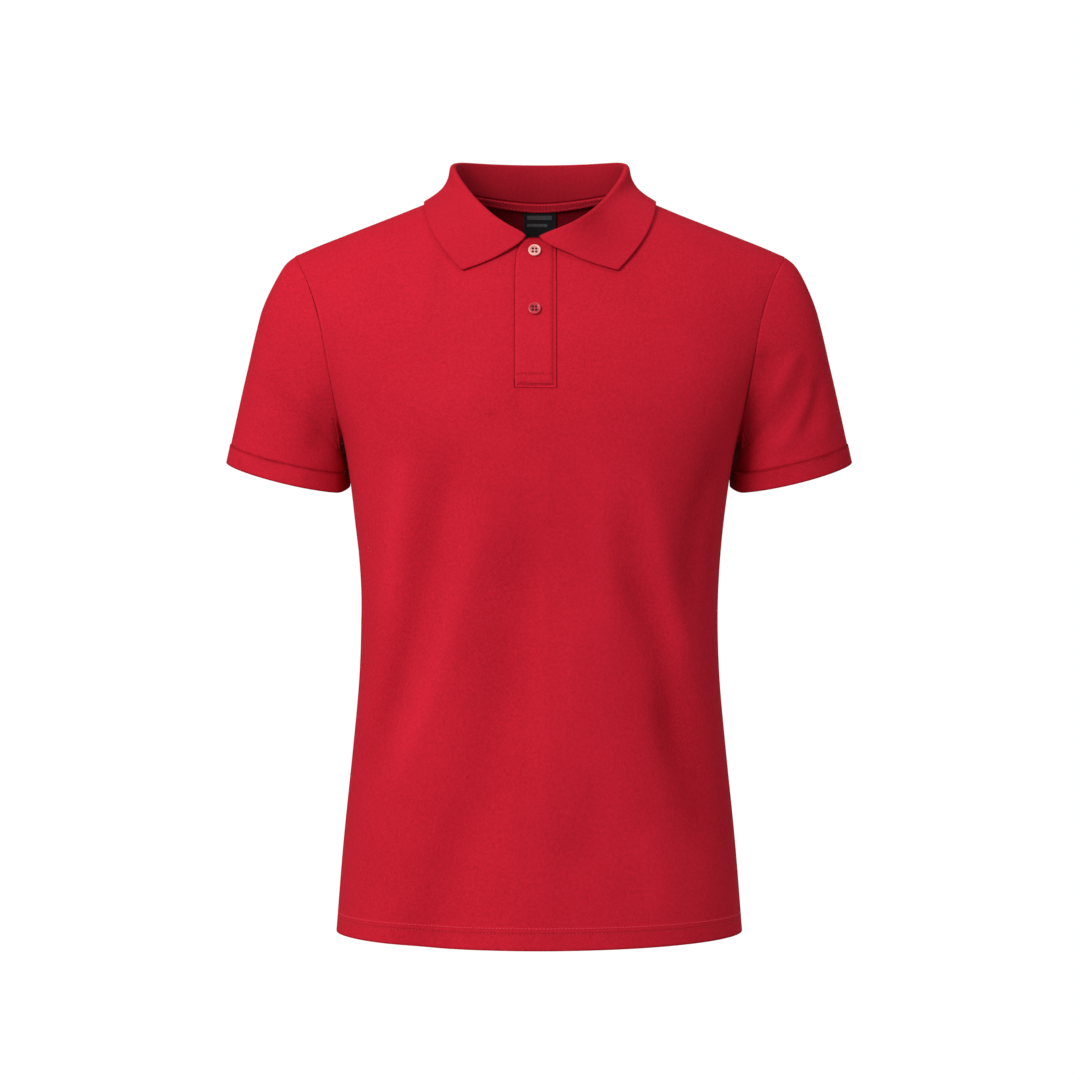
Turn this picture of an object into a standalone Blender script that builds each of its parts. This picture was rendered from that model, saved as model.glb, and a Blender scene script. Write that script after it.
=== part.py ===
# Polo shirt with a knit collar, two-button placket and banded short sleeves, in its worn shape
# with nobody in it: every panel is a thin wall around an empty hollow.
#
# Axes: +X to the wearer's left, -Y to the front, +Z up. The origin lies midway between the two
# high points of the shoulders, where the neck and shoulders carry the shirt.
# Sizes are written in millimetres and become metres when a mesh is made.

import math
from collections import namedtuple

import bmesh
import bpy
from mathutils import Vector

MM = 0.001

# Cloth
SEAM_GAP = 0.3
CLOTH = 1.2
SHARP_EDGE = math.radians(50)
HEM_CLOTH = 2.2
HEM_DEPTH = 22.0
PLACKET_CLOTH = 2.2
UNDER_CLOTH = 1.8
COLLAR_CLOTH = 1.6
BAND_CLOTH = 1.8
TAPE_CLOTH = 1.0
LABEL_CLOTH = 1.0

# Body
HEM_Z = -700.0
ARMPIT_Z = -238.0
ARMPIT_HALF = 186.0
SHOULDER_HALF = 233.0
SHOULDER_SLOPE = 0.391
NECK_HALF = 80.0
NECK_Z = 1.8
NECK_MIDDLE = 5.0
LOWER_ROWS = 16
UPPER_ROWS = 12
ROW_CROWDING = 1.3
NECK_COLUMNS = 5
SHOULDER_COLUMNS = 7

# Slit under the placket, and the placket over it
SLIT_EDGES = (-19.0, 9.0)
PLACKET_EDGES = (-23.5, 14.5)
PLACKET_MIDDLE = -5.0
SLIT_ROW = 4
PLACKET_FOOT_Z = -191.5

# Sleeve band
BAND_DEPTH = 19.5
BAND_STEP = 0.8
BAND_CENTRE = (238.5, 27.0, -270.0)
BAND_HALF_WIDTH = 59.5
BAND_HALF_DEPTH = 52.0
SLEEVE_RINGS = 10
RING_CROWDING = 1.25
BODY_CLEARANCE = 3.2

# Collar
COLLAR_STATIONS = 15
COLLAR_CLEARANCE = 3.0
COLLAR_OVER_PLACKET = 2.2
STAND_POINTS = 3
ROLL_POINTS = 4
FALL_POINTS = 5

# Neck tape and label
LYING_GAP = 1.0
TAPE_DEPTH = 9.5
LABEL_HALF = 15.8
LABEL_DEPTH = 34.0

# Buttons
BUTTON_HEIGHT = 2.4
BUTTON_SIDES = 28
BUTTON_HOLE_RADIUS = 0.8
BUTTON_HOLE_REACH = 1.45
BUTTON_HEIGHTS = {"button_top": -63.0, "button_lower": -118.4}

FRONT = -1
BACK = 1

# Cross-sections of the body, hem to neck. Above the armpit the half width is that of the whole
# rounded form, which the armholes cut short.
Section = namedtuple("Section", "z half_width front back middle squareness")
SECTIONS = (
    Section(-700, 192.0, 125, 118, 0, 2.0),
    Section(-615, 185.3, 121, 114, 0, 2.1),
    Section(-530, 176.7, 115, 108, 0, 2.2),
    Section(-445, 169.6, 111, 104, 0, 2.25),
    Section(-400, 168.6, 110, 104, 0, 2.3),
    Section(-345, 171.2, 112, 107, 0, 2.35),
    Section(-287, 177.7, 117, 111, 0, 2.45),
    Section(-238, 186.0, 120, 112, 0, 2.5),
    Section(-205, 199.0, 120, 112, 1, 2.5),
    Section(-173, 214.0, 118, 112, 2, 2.5),
    Section(-120, 238.0, 113, 111, 4, 2.5),
    Section(-61, 264.0, 109, 110, 5, 2.5),
    Section(20, 272.0, 108, 110, 5, 2.5),
)

# How the panels round over into the shoulder line: 2 is an ellipse, more is squarer.
ROUNDNESS = {FRONT: 1.9, BACK: 2.6}

# Neckline in plan, as a rounded rectangle: how far it reaches, and how square it is.
NECK_REACH = {FRONT: 71.0, BACK: 58.0}
NECK_SQUARENESS = {FRONT: 2.7, BACK: 2.0}

# Armhole edge: half width of the panel, by its share of the rise from armpit to shoulder.
Armhole = namedtuple("Armhole", "rise half_width")
ARMHOLE = (
    Armhole(0.0, 186.0),
    Armhole(0.056, 187.0),
    Armhole(0.195, 192.0),
    Armhole(0.336, 196.6),
    Armhole(0.443, 200.5),
    Armhole(0.62, 206.6),
    Armhole(0.78, 216.0),
    Armhole(1.0, 233.0),
)

# Largest folds: straight soft troughs (depth above 0) and ridges (below 0) between two places.
Fold = namedtuple("Fold", "face x_top z_top x_foot z_foot spread depth")
FOLDS = (
    Fold(FRONT, -88, -250, -166, -590, 17, 5.0),
    Fold(FRONT, -62, -290, -140, -600, 17, -2.2),
    Fold(FRONT, -18, -300, -112, -675, 22, 4.5),
    Fold(FRONT, 160, -235, 118, -395, 16, 3.0),
    Fold(FRONT, 82, -330, 152, -620, 18, 5.0),
    Fold(FRONT, 98, -280, 158, -500, 15, -2.2),
    Fold(FRONT, 44, -520, 36, -650, 20, 2.2),
    Fold(BACK, -70, -210, -150, -560, 19, 4.6),
    Fold(BACK, 16, -330, -38, -650, 24, 3.6),
    Fold(BACK, 84, -230, 146, -590, 18, 5.0),
    Fold(BACK, 60, -420, 88, -660, 17, -2.2),
)

# How each part of the sleeve leaves the armhole: direction, and the reach of its curve at either end.
Lead = namedtuple("Lead", "turn x y z leave arrive")
LEADS = (
    Lead(0, 0.45, 0.15, -0.88, 9, 16),
    Lead(45, 0.52, 0.12, -0.84, 16, 22),
    Lead(90, 0.55, 0.1, -0.83, 36, 42),
    Lead(135, 0.84, 0.06, -0.54, 46, 100),
    Lead(180, 0.93, 0.0, -0.364, 18, 152),
    Lead(225, 0.84, 0.0, -0.54, 46, 100),
    Lead(270, 0.55, 0.1, -0.83, 36, 42),
    Lead(315, 0.52, 0.15, -0.84, 16, 22),
    Lead(360, 0.45, 0.15, -0.88, 9, 16),
)

# Collar, from its front end round to the centre back: fold line, roll radius and outer edge.
Station = namedtuple("Station", "share fold_x fold_y fold_z roll edge_x edge_y edge_z")
COLLAR = (
    Station(0.0, 10.0, -67.3, -45.8, 2.9, 72.0, -78.5, -80.5),
    Station(0.12, 37.0, -62.0, -31.5, 3.0, 88.0, -66.5, -62.0),
    Station(0.25, 58.0, -43.0, -12.5, 3.4, 102.5, -48.0, -38.5),
    Station(0.38, 74.0, -17.0, 9.5, 3.8, 108.5, -24.0, -18.5),
    Station(0.5, 81.5, 5.0, 25.5, 4.0, 110.3, 3.0, -7.0),
    Station(0.65, 73.0, 35.0, 31.5, 3.8, 98.0, 36.0, -6.0),
    Station(0.82, 43.5, 60.0, 34.5, 3.6, 58.0, 63.5, -5.5),
    Station(1.0, 0.0, 67.5, 35.5, 3.5, 0.0, 73.0, -8.0),
)
COLLAR_END_X = {-1: 16.5, 1: 6.5}

# Left edge of the placket, rounded off towards the neck.
Corner = namedtuple("Corner", "z left")
PLACKET_CORNER = (
    Corner(-74.0, -23.5),
    Corner(-66.0, -22.3),
    Corner(-60.0, -19.8),
    Corner(-55.0, -16.4),
    Corner(-50.0, -10.5),
)

# Button in section, from the middle of its back out and round to the middle of its face.
Turned = namedtuple("Turned", "radius height")
BUTTON_PROFILE = (
    Turned(0.0, 0.0),
    Turned(4.9, 0.0),
    Turned(5.8, 0.8),
    Turned(5.8, 1.7),
    Turned(5.2, 2.4),
    Turned(4.5, 2.3),
    Turned(3.8, 1.6),
    Turned(0.0, 1.6),
)

COLOURS = {
    "pique": (0.52, 0.02, 0.045),
    "rib": (0.49, 0.02, 0.042),
    "label": (0.01, 0.01, 0.011),
    "cream": (0.68, 0.42, 0.36),
    "red_button": (0.4, 0.015, 0.03),
}


# ---- tables ----

def read(table, at, column):
    """Value of a column at a place along the first column, on a smooth curve without overshoot."""
    keys = [row[0] for row in table]
    values = [getattr(row, column) for row in table]
    at = min(max(at, keys[0]), keys[-1])
    last = len(keys) - 2
    index = min(sum(1 for key in keys[1:] if key < at), last)
    rates = [(values[i + 1] - values[i]) / (keys[i + 1] - keys[i]) for i in range(last + 1)]

    def slope(i):
        before = rates[max(i - 1, 0)]
        after = rates[min(i, last)]
        if before * after <= 0:
            return 0.0
        return 2 * before * after / (before + after)

    span = keys[index + 1] - keys[index]
    t = (at - keys[index]) / span
    rise = t * t * (3 - 2 * t)
    leaving = t * (1 - t) ** 2 * span * slope(index)
    arriving = t * t * (t - 1) * span * slope(index + 1)
    return values[index] + rise * (values[index + 1] - values[index]) + leaving + arriving


def mix(a, b, share):
    return a + (b - a) * share


# ---- form of the body ----

def ridge_height(x):
    """Height of the shoulder line, straight down the shoulder and rounded over the neck."""
    reach = abs(x)
    if reach > NECK_HALF:
        return NECK_Z - SHOULDER_SLOPE * (reach - NECK_HALF)
    return NECK_Z + SHOULDER_SLOPE * NECK_HALF / 2 * (1 - (reach / NECK_HALF) ** 2)


def fold_depth(face, x, z):
    """How far the folds draw the cloth in here."""
    total = 0.0
    for fold in FOLDS:
        if fold.face != face:
            continue
        share = (z - fold.z_top) / (fold.z_foot - fold.z_top)
        if not -0.2 < share < 1.2:
            continue
        end = min(max(min(share + 0.2, 1.2 - share) / 0.45, 0.0), 1.0)
        across = (x - mix(fold.x_top, fold.x_foot, share)) / fold.spread
        total += fold.depth * end * end * (3 - 2 * end) * math.exp(-0.5 * across * across)
    return total


def section_depth(face, x, z):
    """Depth of the rounded section at this level, before the shoulders round it over."""
    across = min(abs(x) / read(SECTIONS, z, "half_width"), 1.0)
    squareness = read(SECTIONS, z, "squareness")
    bulge = (1 - across ** squareness) ** (1 / squareness)
    depth = read(SECTIONS, z, "front" if face == FRONT else "back")
    return (depth - fold_depth(face, x, z)) * bulge


def rise_share(x, z):
    return max((z - ARMPIT_Z) / (ridge_height(x) - ARMPIT_Z), 0.0)


def cloth_y(face, x, z):
    """Where the outside of the front or back lies, in front of or behind the middle."""
    roundness = ROUNDNESS[face]
    over = (1 - min(rise_share(x, z), 1.0) ** roundness) ** (1 / roundness)
    return read(SECTIONS, z, "middle") + face * section_depth(face, x, z) * over


def cloth_z(face, x, y):
    """Height of the outside near the shoulders, at a place in plan."""
    roundness = ROUNDNESS[face]
    z = 0.0
    for _ in range(10):
        out = min(abs(y - read(SECTIONS, z, "middle")) / section_depth(face, x, z), 1.0)
        z = mix(ARMPIT_Z, ridge_height(x), (1 - out ** roundness) ** (1 / roundness))
    return z


def neckline(face, angle):
    """Neck seam: 0 degrees at centre front or back, 90 at the high shoulder point, signed by side."""
    power = 2 / NECK_SQUARENESS[face]
    turn = math.radians(abs(angle))
    x = math.copysign(NECK_HALF * math.sin(turn) ** power, angle)
    y = NECK_MIDDLE + face * NECK_REACH[face] * max(math.cos(turn), 0.0) ** power
    return Vector((x, y, cloth_z(face, x, y)))


def neckline_angle(face, x):
    return math.degrees(math.asin((abs(x) / NECK_HALF) ** (NECK_SQUARENESS[face] / 2)))


def height_above(point):
    """Distance of a point from the shoulders and upper body, and the direction away from them."""
    def level(x, y, z):
        face = FRONT if y < NECK_MIDDLE else BACK
        roundness = ROUNDNESS[face]
        out = abs(y - NECK_MIDDLE) / section_depth(face, x, z)
        return out ** roundness + rise_share(x, z) ** roundness - 1

    step = 0.05
    here = level(*point)
    away = Vector((
        level(point.x + step, point.y, point.z) - here,
        level(point.x, point.y + step, point.z) - here,
        level(point.x, point.y, point.z + step) - here,
    )) / step
    return here / away.length, away.normalized()


def clear_of_body(point, clearance):
    for _ in range(3):
        gap, away = height_above(point)
        if gap < clearance:
            point = point + away * (clearance - gap)
    return point


# ---- front and back ----

Column = namedtuple("Column", "foot_x top")


def column_point(face, column, row):
    """Point of a panel: rows 0 to LOWER_ROWS rise from the hem band to the armpit, then to the top."""
    if row <= 0:
        z = ARMPIT_Z + row
        x = column.foot_x / ARMPIT_HALF * read(SECTIONS, z, "half_width")
        return Vector((x, cloth_y(face, x, z), z))
    top_share = rise_share(column.top.x, column.top.z)
    rise = math.sin(math.asin(min(top_share, 1.0)) * (row / UPPER_ROWS) ** ROW_CROWDING)
    lean = read(ARMHOLE, rise, "half_width") - ARMPIT_HALF
    lean /= read(ARMHOLE, top_share, "half_width") - ARMPIT_HALF
    x = mix(column.foot_x, column.top.x, lean)
    z = mix(ARMPIT_Z, ridge_height(x), rise)
    return Vector((x, cloth_y(face, x, z), z))


def side_columns(face, start_x, side):
    """Columns from a centre column out to the side seam and armhole, in order outwards."""
    start_turn = math.asin(start_x / ARMPIT_HALF)
    start_angle = neckline_angle(face, start_x)
    count = NECK_COLUMNS + SHOULDER_COLUMNS
    columns = []
    for i in range(1, count + 1):
        foot_x = side * ARMPIT_HALF * math.sin(mix(start_turn, math.pi / 2, i / count))
        if i <= NECK_COLUMNS:
            top = neckline(face, side * mix(start_angle, 90, i / NECK_COLUMNS))
        else:
            reach = mix(NECK_HALF, SHOULDER_HALF, (i - NECK_COLUMNS) / SHOULDER_COLUMNS)
            top = Vector((side * reach, NECK_MIDDLE, ridge_height(reach)))
        columns.append(Column(foot_x, top))
    return columns


def centre_column(face, x):
    return Column(x, neckline(face, math.copysign(neckline_angle(face, x), x)))


def panel_columns(face):
    """All columns of a panel, from -X to +X."""
    if face == FRONT:
        middles = (PLACKET_EDGES[0], SLIT_EDGES[0], PLACKET_MIDDLE, SLIT_EDGES[1], PLACKET_EDGES[1])
    else:
        middles = (-LABEL_HALF, 0.0, LABEL_HALF)
    left = side_columns(face, abs(middles[0]), -1)
    right = side_columns(face, middles[-1], 1)
    return left[::-1] + [centre_column(face, x) for x in middles] + right


def panel_rows():
    """Levels of the rows: at or below 0 the height over the armpit, above it the row's number."""
    hem = HEM_Z - ARMPIT_Z
    band = hem + HEM_DEPTH
    rows = [hem, hem + HEM_DEPTH / 2, band - 0.5, band + 0.5]
    rows += [mix(band, 0.0, i / LOWER_ROWS) for i in range(1, LOWER_ROWS + 1)]
    return rows + list(range(1, UPPER_ROWS + 1))


def panel_grid(face):
    """Outside of a panel as rows of points from hem to top, half a seam gap from the other panel."""
    columns = panel_columns(face)
    apart = Vector((0, face * SEAM_GAP / 2, 0))
    return [[column_point(face, column, row) + apart for column in columns] for row in panel_rows()]


def grid_normals(grid, outward, closed=False):
    """Direction out of the cloth at each point of a grid."""
    normals = []
    for j, row in enumerate(grid):
        below = grid[max(j - 1, 0)]
        above = grid[min(j + 1, len(grid) - 1)]
        line = []
        for i in range(len(row)):
            after = (i + 1) % len(row) if closed else min(i + 1, len(row) - 1)
            before = i - 1 if closed else max(i - 1, 0)
            across = row[after] - row[before]
            line.append((across.cross(above[i] - below[i]) * outward).normalized())
        normals.append(line)
    return normals


def panel_normals(grid, face):
    """Normals of a panel, square to the side and shoulder seams so that the two panels' rims agree."""
    normals = grid_normals(grid, -face)
    armpit = len(grid) - 1 - UPPER_ROWS
    for j, line in enumerate(normals):
        for i in range(len(line)):
            at_side = j <= armpit and i in (0, len(line) - 1)
            at_shoulder = j == len(grid) - 1 and abs(grid[j][i].x) > NECK_HALF - 0.5
            if at_side or at_shoulder:
                line[i] = Vector((line[i].x, 0, line[i].z)).normalized()
    return normals


def on_grid(grid, column, row):
    """Point of a grid at fractional column and row."""
    i = min(int(column), len(grid[0]) - 2)
    j = min(int(row), len(grid) - 2)
    lower = grid[j][i].lerp(grid[j][i + 1], column - i)
    upper = grid[j + 1][i].lerp(grid[j + 1][i + 1], column - i)
    return lower.lerp(upper, row - j)


# ---- sleeves ----

def arm_axes(side):
    """Down the arm, outwards across it and backwards across it."""
    down = Vector((side * 0.229, 0.16, -0.96)).normalized()
    back = Vector((0, 1, 0))
    out = back.cross(down).normalized() * -side
    return down, out, out.cross(down).normalized() * side


def arm_ring(side, turn, along, step):
    """Point of the sleeve end: turn 0 towards the body, 90 front, 180 outside, 270 back."""
    down, out, back = arm_axes(side)
    angle = math.radians(turn)
    centre = Vector((side * BAND_CENTRE[0], BAND_CENTRE[1], BAND_CENTRE[2]))
    across = out * -math.cos(angle) * (BAND_HALF_WIDTH - BAND_STEP + step)
    depth = back * -math.sin(angle) * (BAND_HALF_DEPTH - BAND_STEP + step)
    return beside_body(centre + down * along + across + depth, side)


def beside_body(point, side):
    """Moves a point outwards until it is clear of the side of the body by the armpit and below."""
    level = min(point.z, ARMPIT_Z)
    squareness = read(SECTIONS, level, "squareness")
    depth = read(SECTIONS, level, "front" if point.y < 0 else "back")
    out = min(abs(point.y) / depth, 1.0)
    half = read(SECTIONS, level, "half_width") * (1 - out ** squareness) ** (1 / squareness)
    below = min(max((ARMPIT_Z - point.z) / 10 + 0.4, 0.0), 1.0)
    spare = side * point.x - half - BODY_CLEARANCE * below
    moved = (spare + math.sqrt(spare * spare + 16 * below)) / 2
    return Vector((side * (half + BODY_CLEARANCE * below + moved), point.y, point.z))


def armhole_loop(front, back, side):
    """Edge of the armhole from the armpit up the front, over the shoulder and down the back,
    with each point's turn round the arm: 180 at the shoulder, and even by length before and after."""
    edge = -1 if side > 0 else 0
    rows = range(len(front) - UPPER_ROWS - 1, len(front))
    up = [front[j][edge] for j in rows]
    down = [back[j][edge] for j in reversed(rows)]
    apart = Vector((0, SEAM_GAP / 2, 0))
    up[0] = up[0] + apart
    up[-1] = up[-1] + apart
    loop = up + down[1:-1]
    lengths = [0.0]
    for a, b in zip(loop, loop[1:] + loop[:1]):
        lengths.append(lengths[-1] + (b - a).length)
    half = lengths[UPPER_ROWS]
    turns = [180 * length / half if length <= half else
             180 + 180 * (length - half) / (lengths[-1] - half) for length in lengths[:-1]]
    return loop, turns


def curve_points(start, start_reach, end_reach, end, count):
    """Points along the curve that leaves and arrives as told, closer together near its start."""
    fine = 48
    dense = []
    for i in range(fine + 1):
        t = i / fine
        dense.append(start * (1 - t) ** 3 + (start + start_reach) * 3 * t * (1 - t) ** 2
                     + (end - end_reach) * 3 * t * t * (1 - t) + end * t ** 3)
    lengths = [0.0]
    for a, b in zip(dense, dense[1:]):
        lengths.append(lengths[-1] + (b - a).length)
    points = []
    for k in range(count + 1):
        target = lengths[-1] * (k / count) ** RING_CROWDING
        i = min(sum(1 for length in lengths[1:] if length < target), fine - 1)
        share = (target - lengths[i]) / (lengths[i + 1] - lengths[i])
        points.append(dense[i].lerp(dense[i + 1], share))
    return points


def sleeve_grid(front, back, side):
    """Outside of a sleeve and its normals: rings from the sleeve end up to the armhole."""
    loop, turns = armhole_loop(front, back, side)
    down = arm_axes(side)[0]
    lines = []
    leads = []
    for edge, turn in zip(loop, turns):
        lead = Vector((side * read(LEADS, turn, "x"), read(LEADS, turn, "y"), read(LEADS, turn, "z")))
        lead.normalize()
        start = edge + lead * SEAM_GAP
        end = arm_ring(side, turn, -BAND_DEPTH - SEAM_GAP, 0.0)
        leave = lead * read(LEADS, turn, "leave")
        arrive = down * read(LEADS, turn, "arrive")
        line = curve_points(start, leave, arrive, end, SLEEVE_RINGS)
        line[1:] = [beside_body(point, side) for point in line[1:]]
        lines.append(line[::-1])
        leads.append(lead)
    grid = [[line[j] for line in lines] for j in range(SLEEVE_RINGS + 1)]
    normals = grid_normals(grid, side, closed=True)
    armhole = grid[-1]
    for k, lead in enumerate(leads):
        round_arm = armhole[(k + 1) % len(armhole)] - armhole[k - 1]
        normals[-1][k] = round_arm.cross(-lead * side).normalized()
    return grid, normals


def band_grid(front, back, side):
    """Outside of a sleeve band: rings from its open edge up to the seam."""
    turns = armhole_loop(front, back, side)[1]
    return [[arm_ring(side, turn, along, BAND_STEP) for turn in turns]
            for along in (0.0, -BAND_DEPTH / 2, -BAND_DEPTH)]


# ---- collar ----

def neck_edge(face, grid):
    """Points of a panel's neckline by their angle, from -90 to 90."""
    top = [point for point in grid[-1] if abs(point.x) < NECK_HALF + 0.5]
    return [(math.copysign(neckline_angle(face, min(abs(p.x), NECK_HALF)), p.x), p) for p in top]


def collar_seam(side, share, edges):
    """Point of the panels' edge under the collar, and the way in from it."""
    start = neckline_angle(FRONT, COLLAR_END_X[side])
    angle = mix(start, 180.0, share)
    face = FRONT if angle <= 90 else BACK
    turn = side * (angle if face == FRONT else 180 - angle)
    seam = neckline(face, turn)
    inside = Vector((seam.x * 0.97, mix(seam.y, NECK_MIDDLE, 0.03), 0))
    inside.z = cloth_z(face, inside.x, inside.y)
    edge = edges[face]
    i = min(sum(1 for place, _ in edge[1:] if place < turn), len(edge) - 2)
    share = (turn - edge[i][0]) / (edge[i + 1][0] - edge[i][0])
    return edge[i][1].lerp(edge[i + 1][1], share), (inside - seam).normalized()


def fold_point(side, share):
    point = [read(COLLAR, share, name) for name in ("fold_x", "fold_y", "fold_z")]
    middle_x = -3.2 * max(1 - share / 0.2, 0.0)
    return Vector((side * point[0] + middle_x, point[1], point[2]))


def collar_clearance(point):
    """Height of the fall over the body, more where the placket lies between them."""
    beside = max(PLACKET_EDGES[0] - point.x, point.x - PLACKET_EDGES[1], 0.0)
    near = max(1 - beside / 14, 0.0)
    return COLLAR_CLEARANCE + COLLAR_OVER_PLACKET * near * near * (3 - 2 * near)


def collar_line(side, share, edges):
    """Visible side of the collar in section, up the stand, over the roll and down the fall,
    and the way from its foot into the neck."""
    seam, inwards = collar_seam(side, share, edges)
    fold = fold_point(side, share)
    ahead = fold_point(side, min(share + 0.02, 1.0))
    behind = fold_point(side, max(share - 0.02, 0.0))
    along = ahead - behind
    if share > 0.97:
        along = Vector((-side, 0, 0))
    along.normalize()
    up = (Vector((0, 0, 1)) - along * along.z).normalized()
    out = along.cross(up) * side
    roll = read(COLLAR, share, "roll")
    edge = Vector((side * read(COLLAR, share, "edge_x"), read(COLLAR, share, "edge_y"),
                   read(COLLAR, share, "edge_z")))
    foot = seam + inwards * SEAM_GAP - out * COLLAR_CLOTH
    centre = fold - up * roll
    inner = centre - out * roll
    outer = centre + out * roll
    points = [foot.lerp(inner, i / STAND_POINTS) for i in range(STAND_POINTS)]
    for i in range(ROLL_POINTS + 1):
        turn = math.pi * i / ROLL_POINTS
        points.append(centre - out * roll * math.cos(turn) + up * roll * math.sin(turn))
    droop = outer - up * (edge - outer).length * 0.38
    for i in range(1, FALL_POINTS + 1):
        t = i / FALL_POINTS
        point = outer * (1 - t) ** 2 + droop * 2 * t * (1 - t) + edge * t * t
        points.append(clear_of_body(point, collar_clearance(point)))
    return points, -out


def collar_grid(edges):
    """Rows from the neck seam to the outer edge, from the right front end round to the left,
    and their normals."""
    shares = [i / COLLAR_STATIONS for i in range(COLLAR_STATIONS + 1)]
    lines = [collar_line(-1, share, edges) for share in shares]
    lines += [collar_line(1, share, edges) for share in reversed(shares[:-1])]
    grid = [[line[j] for line, _ in lines] for j in range(len(lines[0][0]))]
    normals = grid_normals(grid, 1)
    normals[0] = [inwards for _, inwards in lines]
    return grid, normals


# ---- meshes ----

def cloth_material(name, colour, roughness):
    material = bpy.data.materials.new(name)
    material.use_nodes = True
    shader = material.node_tree.nodes["Principled BSDF"]
    shader.inputs["Base Color"].default_value = (*colour, 1.0)
    shader.inputs["Roughness"].default_value = roughness
    shader.inputs["Metallic"].default_value = 0.0
    return material


def add_object(name, mesh, colour, roughness=0.85):
    mesh.shade_smooth()
    mesh.set_sharp_from_angle(angle=SHARP_EDGE)
    obj = bpy.data.objects.new(name, mesh)
    obj.data.materials.append(cloth_material(name, COLOURS[colour], roughness))
    bpy.context.scene.collection.objects.link(obj)
    return obj


def wall_mesh(name, grid, normals, thickness, closed=False, cut=None):
    """Closed wall between a grid of points and the same points moved in by the cloth's thickness.

    thickness is a size or a function of the point; cut tells the cells that are left open.
    """
    height = len(grid)
    width = len(grid[0]) + (1 if closed else 0)
    count = len(grid[0])
    bm = bmesh.new()
    bmesh.ops.create_grid(bm, x_segments=width - 1, y_segments=height - 1, size=1.0)
    place = bm.verts.layers.int.new("place")
    ordered = sorted(bm.verts, key=lambda vert: (round(vert.co.y, 4), round(vert.co.x, 4)))
    cells = sorted(bm.faces, key=lambda face: (round(face.calc_center_median().y, 4),
                                               round(face.calc_center_median().x, 4)))
    for index, vert in enumerate(ordered):
        row, column = index // width, index % width % count
        vert.co = grid[row][column] * MM
        vert[place] = row * count + column
    if cut:
        opened = [face for i, face in enumerate(cells) if cut(i % (width - 1), i // (width - 1))]
        bmesh.ops.delete(bm, geom=opened, context="FACES")
    if closed:
        bmesh.ops.remove_doubles(bm, verts=bm.verts, dist=1e-6)
    made = bmesh.ops.extrude_face_region(bm, geom=bm.faces[:], use_keep_orig=True)
    for vert in made["geom"]:
        if isinstance(vert, bmesh.types.BMVert):
            row, column = vert[place] // count, vert[place] % count
            deep = thickness(grid[row][column]) if callable(thickness) else thickness
            vert.co -= normals[row][column] * deep * MM
    bmesh.ops.recalc_face_normals(bm, faces=bm.faces)
    mesh = bpy.data.meshes.new(name)
    bm.to_mesh(mesh)
    bm.free()
    return mesh


def cloth_wall(name, grid, thickness, colour, outward=1, normals=None, closed=False, cut=None):
    if normals is None:
        normals = grid_normals(grid, outward, closed)
    return add_object(name, wall_mesh(name, grid, normals, thickness, closed, cut), colour)


def moved_out(grid, normals, distance):
    return [[point + normal * distance for point, normal in zip(row, line)]
            for row, line in zip(grid, normals)]


# ---- pieces ----

def add_panel(name, face, grid):
    """Front or back: single cloth, doubled in the hem band, with the slit in the front."""
    slit = None
    if face == FRONT:
        first = len(grid) - UPPER_ROWS - 1 + SLIT_ROW
        left = NECK_COLUMNS + SHOULDER_COLUMNS + 1

        def slit(column, row):
            return row >= first and left <= column <= left + 1

    def thickness(point):
        return HEM_CLOTH if point.z < HEM_Z + HEM_DEPTH else CLOTH

    cloth_wall(name, grid, thickness, "pique", normals=panel_normals(grid, face), cut=slit)


def add_sleeve(side_name, side, front, back):
    sleeve, normals = sleeve_grid(front, back, side)
    cloth_wall("sleeve_" + side_name, sleeve, CLOTH, "pique", normals=normals, closed=True)
    band = band_grid(front, back, side)
    cloth_wall("cuff_" + side_name, band, BAND_CLOTH, "rib", outward=side, closed=True)


def placket_rows(front):
    """Row places of the placket on the front's grid, from its foot to the neck."""
    slit = len(front) - UPPER_ROWS - 1 + SLIT_ROW
    centre = NECK_COLUMNS + SHOULDER_COLUMNS + 2
    below, above = front[slit - 1][centre].z, front[slit][centre].z
    foot = slit - 1 + (PLACKET_FOOT_Z - below) / (above - below)
    top = len(front) - 1
    return [foot] + list(range(slit, top)) + [top - 0.75, top - 0.5, top - 0.25, top]


def add_plackets(front):
    normals = panel_normals(front, FRONT)
    first = NECK_COLUMNS + SHOULDER_COLUMNS
    shares = (0.0, 1.0, 2.0, 3.0, 4.0)
    grid, away = [], []
    for row in placket_rows(front):
        level = on_grid(front, first + 2, row).z
        left = read(PLACKET_CORNER, level, "left")
        cut_in = (left - PLACKET_EDGES[0]) / (SLIT_EDGES[0] - PLACKET_EDGES[0])
        if cut_in > 1:
            cut_in = 1 + (left - SLIT_EDGES[0]) / (PLACKET_MIDDLE - SLIT_EDGES[0])
        places = [first + cut_in + share * (4 - cut_in) / 4 for share in shares]
        grid.append([on_grid(front, place, row) for place in places])
        away.append([on_grid(normals, place, row).normalized() for place in places])
    upper = moved_out(grid, away, SEAM_GAP + PLACKET_CLOTH)
    cloth_wall("placket_upper", upper, PLACKET_CLOTH, "pique")

    slit = len(front) - UPPER_ROWS - 1 + SLIT_ROW
    under = [[point.copy() for point in row[first + 1:first + 4]] for row in front[slit:]]
    for row in under:
        row[0].x += SEAM_GAP
        row[-1].x -= SEAM_GAP
    for point in under[0]:
        point.z += SEAM_GAP
    cloth_wall("placket_under", under, UNDER_CLOTH, "pique")
    return upper


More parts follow.
